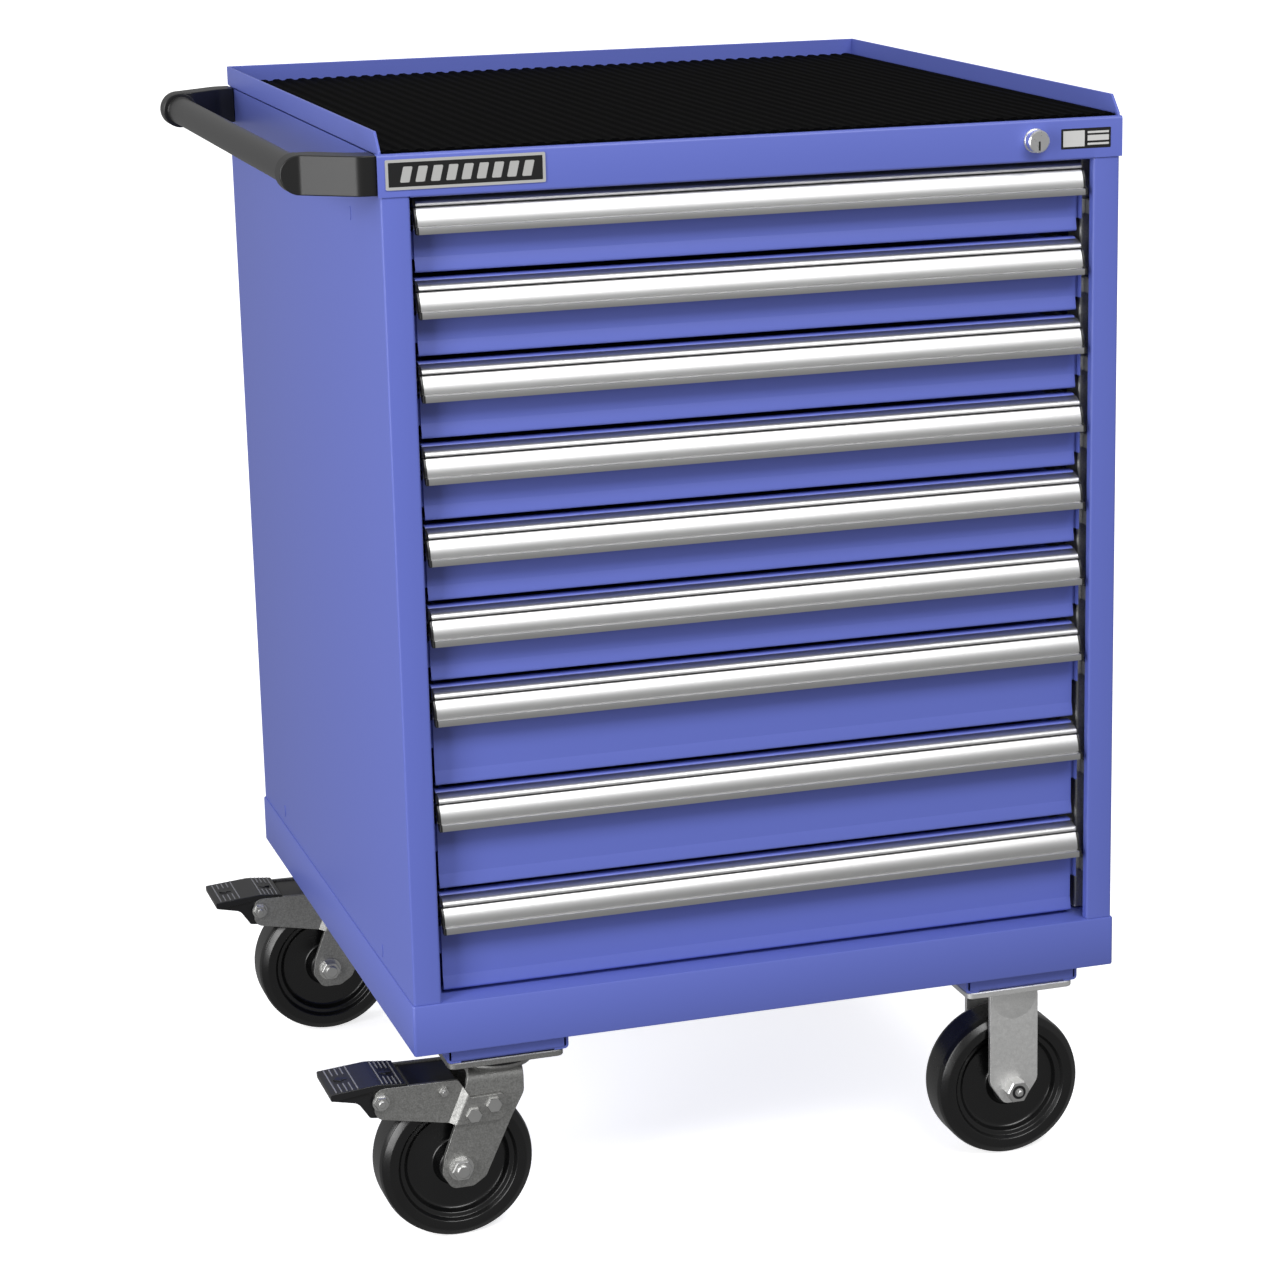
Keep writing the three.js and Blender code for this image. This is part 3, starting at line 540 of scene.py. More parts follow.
def caster_channel():
    t = CHANNEL["sheet"]
    x0, x1 = CHANNEL["inset"], CHANNEL["inset"] + CHANNEL["width"]
    y0, y1 = CHANNEL["end"], DEPTH - CHANNEL["end"]
    foot, head = -CHANNEL["drop"], BASE_TOP - SHEET - 0.3
    fold = CHANNEL["fold"]
    slit = 2.2
    # The two long walls, folded inward at the head and the foot, set back a little from the ends.
    wall = folded([(x0 + fold, foot + 0.1), (x0, foot + 0.1), (x0, head), (x0 + fold, head)][::-1], t, 1.5)
    shells = Shells().prism(wall, "Y", y0 + 1.4, y1 - 1.4)
    shells.join(shells.mirrored("X", (x0 + x1) / 2))
    # The floor with a flap turned up at each end, a slit away from the walls.
    floor = folded([(y0, head), (y0, foot), (y1, foot), (y1, head)], t, 2.5)
    shells.prism(floor, "X", x0 + t + slit, x1 - t - slit)
    return shells


# ---------- slides ----------


def drawer_tops():
    tops = [OPENING_TOP]
    for height in DRAWER_HEIGHTS[:-1]:
        tops.append(tops[-1] - height)
    return tops


def slide_frame():
    """Uprights and fixed channels of the left side."""
    shells = Shells()
    for y in UPRIGHTS:
        path = [(2, y + 2), (25, y + 2), (25, y + 30)]
        shells.prism(folded(path, 2), "Z", BASE_TOP + 2, DECK_FOOT - 2)
    for top in drawer_tops():
        z = top - SLIDE_DROP
        foot, head = z - SLIDE_HALF, z + SLIDE_HALF
        path = [(34, foot), (24, foot), (24, head), (34, head)][::-1]
        shells.prism(folded(path, 2), "Y", *SLIDE_ENDS)
    return shells


def slide_screws():
    """Button-headed rivets that hold the fixed channels to the uprights, inside the channels."""
    shells = Shells()
    for top in drawer_tops():
        for y in (52, 360, 660):
            shells.turn([(3.4, -0.3), (3.4, 0.5), (1.8, 1.1)], "X", (26, y, top - SLIDE_DROP), 20)
    return shells


def carriage(top):
    """The two intermediate members of a drawer's slides, tied together behind it."""
    z = top - SLIDE_DROP
    half, web = 9.5, 2
    lower = [(28, -half), (31, -half), (31, -web), (38.5, -web), (38.5, -half), (41.5, -half)]
    upper = [(x, -dz) for x, dz in lower[::-1]]
    outline = [(x, z + dz) for x, dz in lower + upper]
    rear = SLIDE_ENDS[1] + 16
    shells = Shells().prism(outline, "Y", SLIDE_ENDS[0], rear)
    shells.join(shells.mirrored("X", WIDTH / 2))
    tie = folded([(rear - 5, z - 6), (rear - 1, z - 6), (rear - 1, z + 6), (rear - 5, z + 6)], 1.2, 0.6)
    shells.prism(tie, "X", 29, WIDTH - 29)
    return shells


def carriage_rollers(top):
    """Rollers between the flanges of the intermediate members, at both ends of each."""
    z = top - SLIDE_DROP
    shells = Shells()
    for y in (52, 110, 608, 666):
        shells.turn([(4, 0), (6, 0.4), (6, 4.6), (4, 5)], "X", (32.2, y, z), 24)
    shells.join(shells.mirrored("X", WIDTH / 2))
    return shells


# ---------- drawers ----------


def drawer_front(top, height):
    foot = top - height + FRONT_GAP
    head = top - FRONT_TOP_DROP
    path = [
        (FRONT_FACE + 10, head),
        (FRONT_FACE, head),
        (FRONT_FACE, foot + FLARE_HEIGHT),
        (FLARE_FACE, foot),
        (FLARE_FACE + 9, foot),
    ]
    shells = Shells().prism(folded(path, SHEET, 0.9), "X", *FRONT_ENDS)
    # Side flanges behind the front, each turned forward beside its end.
    end = FRONT_ENDS[0] - 3.6
    flange = [(end + 14, FRONT_FACE + 3.4), (end, FRONT_FACE + 3.4), (end, FRONT_FACE - 3)]
    flange_outline = folded(flange[::-1], SHEET, 0.8)
    side = Shells().prism(flange_outline, "Z", max(foot + 12, top - 62), top - 35.5)
    shells.join(side.mirrored("X", WIDTH / 2))
    return shells.join(side)


def drawer_tub(top, height):
    t = 1.2
    floor = top - height + 7
    rim = top - 6.5
    section = [
        (1.6, floor),
        (0.5, floor + 0.5),
        (0, floor + 1.6),
        (0, rim - 1.2),
        (0.5, rim - 0.3),
        (1.4, rim),
        (2.4, rim - 0.3),
        (2.8, rim - 1.2),
        (2.8, rim - 9),
        (t, rim - 9.4),
        (t, floor + t + 1.4),
        (t + 1.4, floor + t),
    ]
    return Shells().pan((*BOX_SIDES, FRONT_FACE + SHEET + 0.2, BOX_REAR), section, 3.0)


def drawer_runners(top):
    z = top - SLIDE_DROP
    foot, head = z - SLIDE_HALF, z + SLIDE_HALF
    path = [(35.5, foot), (BOX_SIDES[0], foot), (BOX_SIDES[0], head), (35.5, head)]
    shells = Shells().prism(folded(path, 2), "Y", *SLIDE_ENDS)
    shells.join(shells.mirrored("X", WIDTH / 2))
    return shells


# The pull's section, as runs of (y, drop) points. The slot runs under the nose, and a groove over the lip.
PULL_STRIP = [(23.7, 3.4), (20.8, 3.3), (15.6, 5.0)]
PULL_NOSE = [(14.2, 5.6), (12.9, 6.4), (11.9, 7.4), (11.2, 8.6), (10.8, 9.8), (10.7, 10.5), (11.0, 10.8)]
PULL_SLOT = [(18.0, 10.9), (18.0, 12.2), (12.4, 12.2)]
PULL_FACE = [(11.7, 12.4), (11.2, 13.0), (10.5, 14.2), (9.6, 15.8), (8.6, 17.6)]
PULL_FACE += [(7.7, 19.6), (6.9, 21.8), (6.3, 24.0), (5.9, 26.2), (5.7, 28.2)]
PULL_LIP = [(6.4, 28.5), (6.4, 29.3), (2.2, 29.5), (1.6, 29.9), (1.0, 34.8), (1.3, 35.4), (2.6, 35.4)]
PULL_BACK = [(3.2, 34.8), (3.8, 31.3), (7.6, 31.1), (8.0, 27.0), (9.0, 23.0), (10.6, 19.2), (12.8, 16.0)]
PULL_WEB = [(15.2, 14.4), (19.6, 13.4), (19.6, 9.4), (21.6, 7.0), (21.9, 33), (23.7, 33)]


def pull_body(top):
    runs = PULL_STRIP + PULL_NOSE + PULL_SLOT + PULL_FACE + PULL_LIP + PULL_BACK + PULL_WEB
    return Shells().prism([(y, top - drop) for y, drop in runs], "X", *FRONT_ENDS)


def pull_slot_shade(top):
    """A black strip that fills the slot under the nose, back from its mouth: painted shade for the slot's dark
    inside.
    """
    return Shells().box(FRONT_ENDS[0] + 0.5, FRONT_ENDS[1] - 0.5, 12.6, 17.9, top - 12.15, top - 10.95)


def pull_caps(top):
    """Dark fins that close the two ends of the pull's hollow, standing a little proud of its face."""
    front = [(y - 0.7, drop - 0.3) for y, drop in PULL_FACE]
    lip = [(4.8, 28.4), (1.2, 28.9), (0.3, 34.9), (0.8, 35.6)]
    rear = [(6.5, 35.6), (9.5, 31.0), (12.6, 24.0), (15.0, 16.0), (16.0, 11.6)]
    outline = [(y, top - drop) for y, drop in front + lip + rear]
    shells = Shells().prism(outline, "X", FRONT_ENDS[0] - PULL_CAP, FRONT_ENDS[0])
    return shells.join(shells.mirrored("X", WIDTH / 2))


# ---------- handle ----------


def handle_bracket():
    """The front bracket: it leaves the side square, slants back and ends in a half round about the grip."""
    around = [math.radians(a) for a in range(90, 271, 9)]
    end = [(GRIP_X + HANDLE_HALF * math.cos(a), HANDLE_Z + HANDLE_HALF * math.sin(a)) for a in around]
    elevation = [(-0.3, HANDLE_Z - HANDLE_HALF), (-0.3, HANDLE_Z + HANDLE_HALF), *end]
    plan = [
        (4, 3.5, 0),
        (-17, 3.5, 16),
        (GRIP_X, 37.5, 12),
        (-HANDLE_REACH - 3, 42, 0),
        (-HANDLE_REACH - 3, COLLAR_Y, 0),
        (GRIP_X + 14, COLLAR_Y, 10),
        (-17, 38, 12),
        (4, 34, 0),
    ]
    shells = Shells().prism(elevation, "Y", -5, 80)
    tool = Shells().prism(rounded(plan, 6), "Z", HANDLE_Z - 2 * HANDLE_HALF, HANDLE_Z + 2 * HANDLE_HALF)
    return shells.carved(tool, "INTERSECT")


def handle_collar():
    """Turned ring where the grip enters the front bracket."""
    inside = GRIP_RADIUS - 1
    profile = [(inside, -1), (17.2, -1), (17.8, -0.2), (17.8, 2.6), (17.2, 3.4), (inside, 3.4)]
    return Shells().turn(profile, "Y", (GRIP_X, COLLAR_Y, HANDLE_Z), 56, ring=True)


def handle_grip():
    """A tube with a faint ridge near each end."""
    start, end = GRIP_END, DEPTH - GRIP_END
    profile = [(GRIP_RADIUS - 3, start), (GRIP_RADIUS, start)]
    for at in (start + 15, end - 15):
        profile += [(GRIP_RADIUS, at - 1.6), (GRIP_RADIUS + 0.7, at - 0.8)]
        profile += [(GRIP_RADIUS + 0.7, at + 0.8), (GRIP_RADIUS, at + 1.6)]
    profile += [(GRIP_RADIUS, end), (GRIP_RADIUS - 3, end)]
    return Shells().turn(profile, "Y", (GRIP_X, 0, HANDLE_Z), 56)


# ---------- lock and plates ----------


def lock_drum():
    profile = [(9.4, 9), (9.4, -1.5), (11.4, -1.7), (11.4, -3.0), (10.6, -3.2), (10.6, -12.6), (9.4, -13.8)]
    drum = Shells().turn(profile, "Y", (LOCK_X, 0, HANDLE_Z), 56)
    slot = Shells().box(LOCK_X - 1.0, LOCK_X + 1.0, -20, -7, HANDLE_Z - 8.4, HANDLE_Z + 0.2)
    return drum.carved(slot, "DIFFERENCE")


def key_slot_shade():
    """A black block that fills the key's slot nearly to its mouth: painted shade for the slot's inside."""
    return Shells().box(LOCK_X - 0.95, LOCK_X + 0.95, -12.9, -6.9, HANDLE_Z - 8.35, HANDLE_Z + 0.15)


def lock_bar():
    """The bar behind the right post, its arm to the lock, and a hooked tab beside every drawer."""
    x, front, back = LOCK_BAR_X, 12.5, 15.5
    foot, head = BASE_TOP + 19, HANDLE_Z + 4
    shells = Shells().box(x, x + 6, front, back, foot, head)
    shells.box(618, x + 0.5, front + 0.2, back - 0.2, head - 12, head - 0.2)
    near, far, rear = x + 0.1, x + 5.9, 31
    tab = [(near, front + 0.1), (far, front + 0.1), (far, rear), (x - 7, rear), (x - 7, 27), (near, 27)]
    for top in drawer_tops():
        z = top - SLIDE_DROP - SLIDE_HALF - 9
        shells.prism(tab, "Z", z - 14, z)
    return shells


def rounded_box(rectangle, inset, radius, steps=5):
    """Outline of an (x0, x1, z0, z1) rectangle, made smaller all round, with rounded corners."""
    x0, x1, z0, z1 = rectangle
    x0, x1, z0, z1 = x0 + inset, x1 - inset, z0 + inset, z1 - inset
    return rounded([(x0, z0, radius), (x1, z0, radius), (x1, z1, radius), (x0, z1, radius)], steps)


def plate_frame(rectangle, width, back, front):
    """A flat rectangular ring with rounded corners, facing forward."""
    outer = rounded_box(rectangle, 0, 1.5, 4)
    inner = rounded_box(rectangle, width, 0.6, 4)
    rows = [(outer, back), (outer, front + 0.3), (outer, front), (inner, front), (inner, back)]
    return Shells().skin([[(x, y, z) for x, z in row] for row, y in rows], ring=True)


def name_plate():
    """A blank name plate: a silver rim and a row of plain slanted bars."""
    x0, _, z0, z1 = NAME_PLATE
    shells = plate_frame(NAME_PLATE, 2.6, -PROUD - 0.02, -PROUD - 1.3)
    middle = (z0 + z1) / 2
    for i in range(9):
        x = x0 + 13 + i * 14
        foot, head = middle - 7, middle + 7
        bar = [(x, foot, 1), (x + 8.5, foot, 1), (x + 12, head, 1), (x + 3.5, head, 1)]
        shells.prism(rounded(bar), "Y", -PROUD - 1.25, -PROUD - 0.6)
    return shells


def name_plate_field():
    return Shells().prism(rounded_box(NAME_PLATE, 2, 0.6), "Y", -PROUD - 0.8, -PROUD - 0.02)


def label_field():
    return Shells().prism(rounded_box(LABEL, 0, 0.8), "Y", -PROUD - 0.35, -PROUD - 0.02)


def label_panels():
    """The label's blank pale panel, and three plain bars beside it."""
    x0, x1, z0, z1 = LABEL
    margin = 2
    face = (-PROUD - 0.5, -PROUD - 0.3)
    panel = (x0 + margin, x0 + 24, z0 + margin, z1 - margin)
    shells = Shells().prism(rounded_box(panel, 0, 0.5), "Y", *face)
    for z, half in ((z1 - 4, 1.0), (z0 + 9.6, 2.6), (z0 + 4, 1.0)):
        bar = (x0 + 27, x1 - margin, z - half, z + half)
        shells.prism(rounded_box(bar, 0, 0.4), "Y", *face)
    return shells


# ---------- casters ----------


def mounting_plate(x, y):
    section = [(0.8, PLATE_TOP), (0, PLATE_TOP - 0.8), (0, PLATE_FOOT + 0.8), (0.8, PLATE_FOOT)]
    half_length, half_width = 4.5 * INCH / 2, 2 * INCH
    rectangle = (x - half_length, x + half_length, y - half_width, y + half_width)
    return Shells().pan(rectangle, section, 7.0)


def race(x, y):
    """The upper bearing race pressed into the swivel plate's underside, shown black as painted shade under the
    plate.
    """
    profile = [(36, 1), (37, 0), (37, -3.4), (36.2, -4.6), (34.5, -5.2), (12, -5.2)]
    return Shells().turn(profile, "Z", (x, y, PLATE_FOOT), 72)


def saddle(y, top, outer, thickness, bend):
    """Section, as (y, z), of a strip bent down over the wheel."""
    foot = -175
    path = [(y + outer, foot), (y + outer, top), (y - outer, top), (y - outer, foot)]
    return folded(path, thickness, bend, 7)


def swivel_fork(x, y):
    axle_x = x - TRAIL
    leg = [
        (x - 31, FORK_TOP + 12, 1),
        (x + 20, FORK_TOP + 12, 1),
        (x + 20, -60, 16),
        (x + 7, -84, 12),
        (axle_x + 25, AXLE_Z - 12, 10),
        (axle_x + 12, AXLE_Z - 20.5, 8),
        (axle_x - 9, AXLE_Z - 20.5, 9),
        (axle_x - 18.5, AXLE_Z - 5, 9),
        (axle_x - 16, AXLE_Z + 12, 9),
        (x - 48, -82, 14),
    ]
    body = Shells().prism(saddle(y, FORK_TOP + 5.2, LEG_OUTER, LEG_SHEET, 9), "X", x - 90, x + 30)
    body.carved(Shells().prism(rounded(leg, 6), "Y", y - 60, y + 60), "INTERSECT")
    crown = [(22, 0), (35, 0), (38, -1.4), (38.4, -4), (36, -7), (30, -10.5), (22, -12.5)]
    body.turn(crown, "Z", (x, y, CROWN_TOP), 72)
    return body


def dust_ring(x, y):
    """Dark seal between the two races."""
    profile = [(30, 0.4), (38.6, 0.4), (39.4, -0.6), (39.0, -2.0), (30, -2.0)]
    return Shells().turn(profile, "Z", (x, y, PLATE_FOOT - 4.6), 72, ring=True)


def brake_arm(x, y):
    """One arm: beside the wheel it runs in line with the fork, and it steps out over the fork's leg."""
    outline = [
        (x - 127, -38.5, 10),
        (x - 45, -40, 4),
        (x - 34, -58, 2),
        (x - 3, -57, 5),
        (x + 1, -63, 3),
        (x + 1, -78, 6),
        (x - 6, -84, 5),
        (x - 49, -84, 3),
        (x - 127, -69, 10),
    ]
    inner, outer = y - 33.2, y - 39
    lean = 14
    path = [(x - 160, inner), (x - 47, inner), (x - 40, outer), (x + 30, outer)]
    section = folded(path, 3.8, 1.2, 4)
    rows = [[(px + shift, py, z) for px, py in section] for shift, z in ((-lean, -95), (lean, -30))]
    strip = Shells().skin(rows)
    return strip.carved(Shells().prism(rounded(outline, 6), "Y", y - 60, y), "INTERSECT")


def brake_bracket(x, y):
    arm = brake_arm(x, y)
    arm.join(arm.mirrored("Y", y))
    pivot_x, pivot_z = BRAKE_PIVOT
    arm.turn([(4, -38), (4, 38)], "Y", (x + pivot_x, y, pivot_z), 28)
    return arm


def brake_cover(x, y):
    """The brake's spring plate: it fills the space between the arms and hooks down over the wheel."""
    path = [(x - 45, -42), (x - 93, -41), (x - 98, -50)]
    return Shells().prism(folded(path, 2.4, 4, 6), "Y", y - 29.2, y + 29.2)


def brake_bolts(x, y):
    """Bolts of the brake's bracket: its pivot, its spring and two through each leg of the fork."""
    shells = Shells()
    for side in (-1, 1):
        face = y + side * 33.6
        pivot = (x + BRAKE_PIVOT[0], y, BRAKE_PIVOT[1])
        washer(shells, "Y", pivot, 8.4, face - side * 0.3, face + side * 1.0)
        hex_head(shells, "Y", pivot, 12.5, face + side * 0.8, face + side * 5.6)
        shells.turn([(3.4, side * 36), (3.4, side * 40.6), (2.8, side * 41.2)], "Y", pivot, 24)
        spring = (x + BRAKE_SPRING[0], y, BRAKE_SPRING[1])
        hex_head(shells, "Y", spring, 8.5, face - side * 0.3, face + side * 3.6)
        shells.turn([(2.4, side * 36), (2.4, side * 39.4), (1.9, side * 40)], "Y", spring, 20)
        for dx, z in BRAKE_BOLTS:
            hex_head(shells, "Y", (x + dx, y, z), 14, y + side * 38.6, y + side * 43.8)
    return shells


def pedal_body(x, y):
    tread_half = 33
    tread = [
        (x - 169.3, -38, 1.5),
        (x - 122, -34, 40),
        (x - 95, -36.8, 1.5),
        (x - 95, -42, 0.8),
        (x - 122, -40, 20),
        (x - 168.6, -45.5, 1.5),
    ]
    cheek = [
        (x - 168, -41, 1),
        (x - 122, -36, 20),
        (x - 95, -39, 1),
        (x - 95, -48, 2),
        (x - 108, -58, 8),
        (x - 122, -69.5, 3),
        (x - 131, -68.5, 4),
        (x - 142, -52, 10),
        (x - 167, -46.5, 1),
    ]
    shells = Shells().prism(rounded(tread, 4), "Y", y - tread_half, y + tread_half)
    for side in (-1, 1):
        shells.prism(rounded(cheek, 4), "Y", y + side * 20, y + side * 29.4)
    shells.box(x - 99, x - 95.4, y - 24, y + 24, -51, -38)
    return shells


def tread_height(offset):
    """Height of the tread's top, at an offset from the kingpin."""
    if offset < -122:
        return -38 + 4 * (offset + 169.3) / 47.3
    return -34 - 2.8 * (offset + 122) / 27


# Offset of the first line of each ribbed zone of the tread, and the pitch of its five lines.
RIB_ZONES = ((-163, 5.2), (-118, 4.4))


def pedal_ribs(x, y):
    """Raised lines across two zones of the tread, the middle ones broken around an arrow."""
    shells = Shells()
    for start, step in RIB_ZONES:
        for i in range(5):
            offset = start + i * step
            px, z = x + offset, tread_height(offset)
            spans = [(y - 31, y + 31)] if i in (0, 4) else [(y - 31, y - 12), (y + 12, y + 31)]
            for y0, y1 in spans:
                shells.box(px - 0.5, px + 0.5, y0, y1, z - 0.9, z + 0.8)
    return shells


def pedal_arrows(x, y):
    """A plain arrow in the middle of each ribbed zone."""
    shells = Shells()
    for start, step in RIB_ZONES:
        offset = start + 2 * step
        px, z = x + offset, tread_height(offset)
        arrow = [(px - 7, y), (px, y - 6), (px, y - 2.4), (px + 6, y - 2.4)]
        arrow += [(px + 6, y + 2.4), (px, y + 2.4), (px, y + 6)]
        shells.prism(arrow, "Z", z - 1.2, z + 0.9)
    return shells


def rigid_bracket(x, y):
    """Two straight legs, tapered at the axle, with half a shallow dome pressed out at their heads."""
    half, head = 26, PLATE_FOOT + 2
    outline = [
        (x - half, head, 0),
        (x + half, head, 0),
        (x + half, AXLE_Z + 6.5, 14),
        (x + 10.5, AXLE_Z - 15.8, 9),
        (x - 10.5, AXLE_Z - 15.8, 9),
        (x - half, AXLE_Z + 6.5, 14),
    ]
    body = Shells().prism(saddle(y, PLATE_FOOT + 0.4, LEG_OUTER, LEG_SHEET, 6), "X", x - 60, x + 60)
    body.carved(Shells().prism(rounded(outline, 6), "Y", y - 60, y + 60), "INTERSECT")
    for side in (-1, 1):
        dome = [(24, -1), (24, 0), (22.5, 0.35), (20, 1.0), (16, 2.0), (11, 2.9), (6, 3.4), (1, 3.6)]
        turned = [(r, side * (LEG_OUTER + h)) for r, h in dome]
        swell = Shells().turn(turned, "Y", (x, y, PLATE_FOOT - 9), 64)
        below = Shells().box(x - 40, x + 40, y - 60, y + 60, PLATE_FOOT - 60, PLATE_FOOT - 1)
        body.join(swell.carved(below, "INTERSECT"))
    return body


def wheel(x, y):
    half_side = [
        (9.6, 28.6, 0.6),
        (19.5, 28.6, 2.6),
        (23.5, 15.8, 3.5),
        (48.5, 13.2, 4.5),
        (52.5, 19.5, 2.0),
        (56.5, 20.4, 1.6),
        (59.5, 24.8, 1.8),
        (68.0, 25.4, 2.6),
        (74.6, 20.6, 3.0),
        (WHEEL_RADIUS, 15.0, 10.0),
    ]
    corners = half_side + [(r, -h, f) for r, h, f in half_side[::-1]]
    return Shells().turn(rounded(corners, 4), "Y", (x, y, AXLE_Z), 112, ring=True)


def axle_body(x, y):
    centre = (x, y, AXLE_Z)
    shells = Shells().turn([(6, -(LEG_OUTER + 7)), (6, LEG_OUTER + 7)], "Y", centre, 40)
    shells.turn([(9.2, -28.7), (9.2, 28.7)], "Y", centre, 40)
    return shells


def axle_hexes(x, y):
    """Nut, head and washers of a swivel caster's axle bolt, with the bolt's end in the nut."""
    centre = (x, y, AXLE_Z)
    shells = Shells()
    for side in (-1, 1):
        face = LEG_OUTER * side
        washer(shells, "Y", centre, 12.5, y + face, y + face + side * 1.6)
        hex_head(shells, "Y", centre, 19, y + face + side * 1.2, y + face + side * 9.6)
        shells.turn([(6.6, face), (6.6, face + side * 11.4), (5.6, face + side * 12.4)], "Y", centre, 40)
    return shells


def long_axle_hexes(x, y):
    """Nut and head of a rigid caster's axle bolt."""
    shells = Shells()
    for side in (-1, 1):
        face = y + LEG_OUTER * side
        hex_head(shells, "Y", (x, y, AXLE_Z), 21, face, face + side * LONG_NUT)
    return shells


def nut_cup_shades(x, y):
    """Black discs on the ends of the rigid caster's nut and head: painted shade for the hollows in those ends."""
    shells = Shells()
    for side in (-1, 1):
        end = side * (LEG_OUTER + LONG_NUT)
        shells.turn([(7.2, end - side), (7.2, end + side * 0.2)], "Y", (x, y, AXLE_Z), 40)
    return shells


def grease_nipples(x, y):
    shells = Shells()
    end = LEG_OUTER + LONG_NUT
    for side in (-1, 1):
        profile = [(4.4, end - 1), (4.4, end + 0.6), (2.4, end + 1.0), (2.2, end + 1.8), (3.1, end + 2.4)]
        profile += [(3.1, end + 3.6), (1.9, end + 4.4), (0.6, end + 4.4)]
        shells.turn([(r, side * h) for r, h in profile], "Y", (x, y, AXLE_Z), 32)
    return shells


# ---------- assembly ----------


def show_housing():
    left = side_panel()
    right = left.mirrored("X", WIDTH / 2)
    show(left, "left_side", BLUE, "housing", ["left_side_panel"])
    show(right, "right_side", BLUE, "housing", ["right_side_panel"])
    show(back_panel(), "back", BLUE, "housing", ["back_panel"])
    show(base_frame(), "base", BLUE, "housing", ["base_frame"])
    show(top_panel(), "top", BLUE, "housing", ["top_panel"])
    show(lips(), "top_lips", BLUE, "housing", bevel=0.7, segments=3)
    show(top_mat(), "ribbed_mat", MAT_RUBBER, "housing", ["top_mat"], soft_angle=50)
    channel = caster_channel()
    mirrored = channel.mirrored("X", WIDTH / 2)
    show(channel, "left_channel", BLUE, "housing", ["left_caster_channel"])
    show(mirrored, "right_channel", BLUE, "housing", ["right_caster_channel"])
    for side in ("left", "right"):
        rails, rivets = slide_frame(), slide_screws()
        if side == "right":
            rails, rivets = rails.mirrored("X", WIDTH / 2), rivets.mirrored("X", WIDTH / 2)
        show(rails, f"{side}_slides", ZINC, "housing", [f"{side}_slide_frame"])
        show(rivets, f"{side}_slide_rivets", BRIGHT, "housing")


def show_handle():
    bracket, collar = handle_bracket(), handle_collar()
    rear_bracket, rear_collar = bracket.mirrored("Y", DEPTH / 2), collar.mirrored("Y", DEPTH / 2)
    show(bracket, "handle_front_end", SATIN_BLACK_AND_SHADE, "housing", ["handle_bracket_front"], bevel=1.2, segments=3)
    show(rear_bracket, "handle_rear_end", SATIN_BLACK_AND_SHADE, "housing", ["handle_bracket_rear"], bevel=1.2, segments=3)
    show(collar, "handle_front_collar", BLACK_PLASTIC_AND_SHADE, "housing")
    show(rear_collar, "handle_rear_collar", BLACK_PLASTIC_AND_SHADE, "housing")
    show(handle_grip(), "handle_tube", GRIP_RUBBER, "housing", ["handle_grip"])


def show_lock():
    show(lock_drum(), "lock_drum", CHROME, "lock", ["lock_cylinder"])
    # Black block in the key's slot: painted shade.
    show(key_slot_shade(), "lock_key_slot", PRINT_BLACK_AND_SHADE, "lock")
    show(lock_bar(), "lock_bar_strip", ZINC, "lock_bar", ["lock_bar"], bevel=0.4)
    show(name_plate(), "name_plate_rim", PLATE_SILVER, "housing")
    show(name_plate_field(), "name_plate_field", PRINT_BLACK_AND_SHADE, "housing")
    show(label_field(), "label_field", PRINT_BLACK_AND_SHADE, "housing")
    show(label_panels(), "label_panels", LABEL_WHITE, "housing")


def show_drawers():
    for i, (top, height) in enumerate(zip(drawer_tops(), DRAWER_HEIGHTS)):
        name = f"drawer_{i + 1}"
        show(drawer_tub(top, height), f"{name}_tub", BLUE, name, [f"{name}_box"])
        show(drawer_front(top, height), f"{name}_front", BLUE, name)
        # Runners and rails in the darker zinc: painted shade.
        show(drawer_runners(top), f"{name}_runners", ZINC_PAINTED_SHADE, name)
        show(pull_body(top), f"{name}_handle", ALUMINIUM, name, [f"{name}_pull"], soft_angle=40)
        # Black strip in each pull's slot: painted shade.
        show(pull_slot_shade(top), f"{name}_handle_slot_shade", PRINT_BLACK_AND_SHADE, name)
        show(pull_caps(top), f"{name}_handle_caps", BLACK_PLASTIC_AND_SHADE, name, bevel=0.5)
        show(carriage(top), f"{name}_rails", ZINC_PAINTED_SHADE, f"{name}_slides", [f"{name}_carriage"])
        show(carriage_rollers(top), f"{name}_rollers", BLACK_PLASTIC_AND_SHADE, f"{name}_slides")


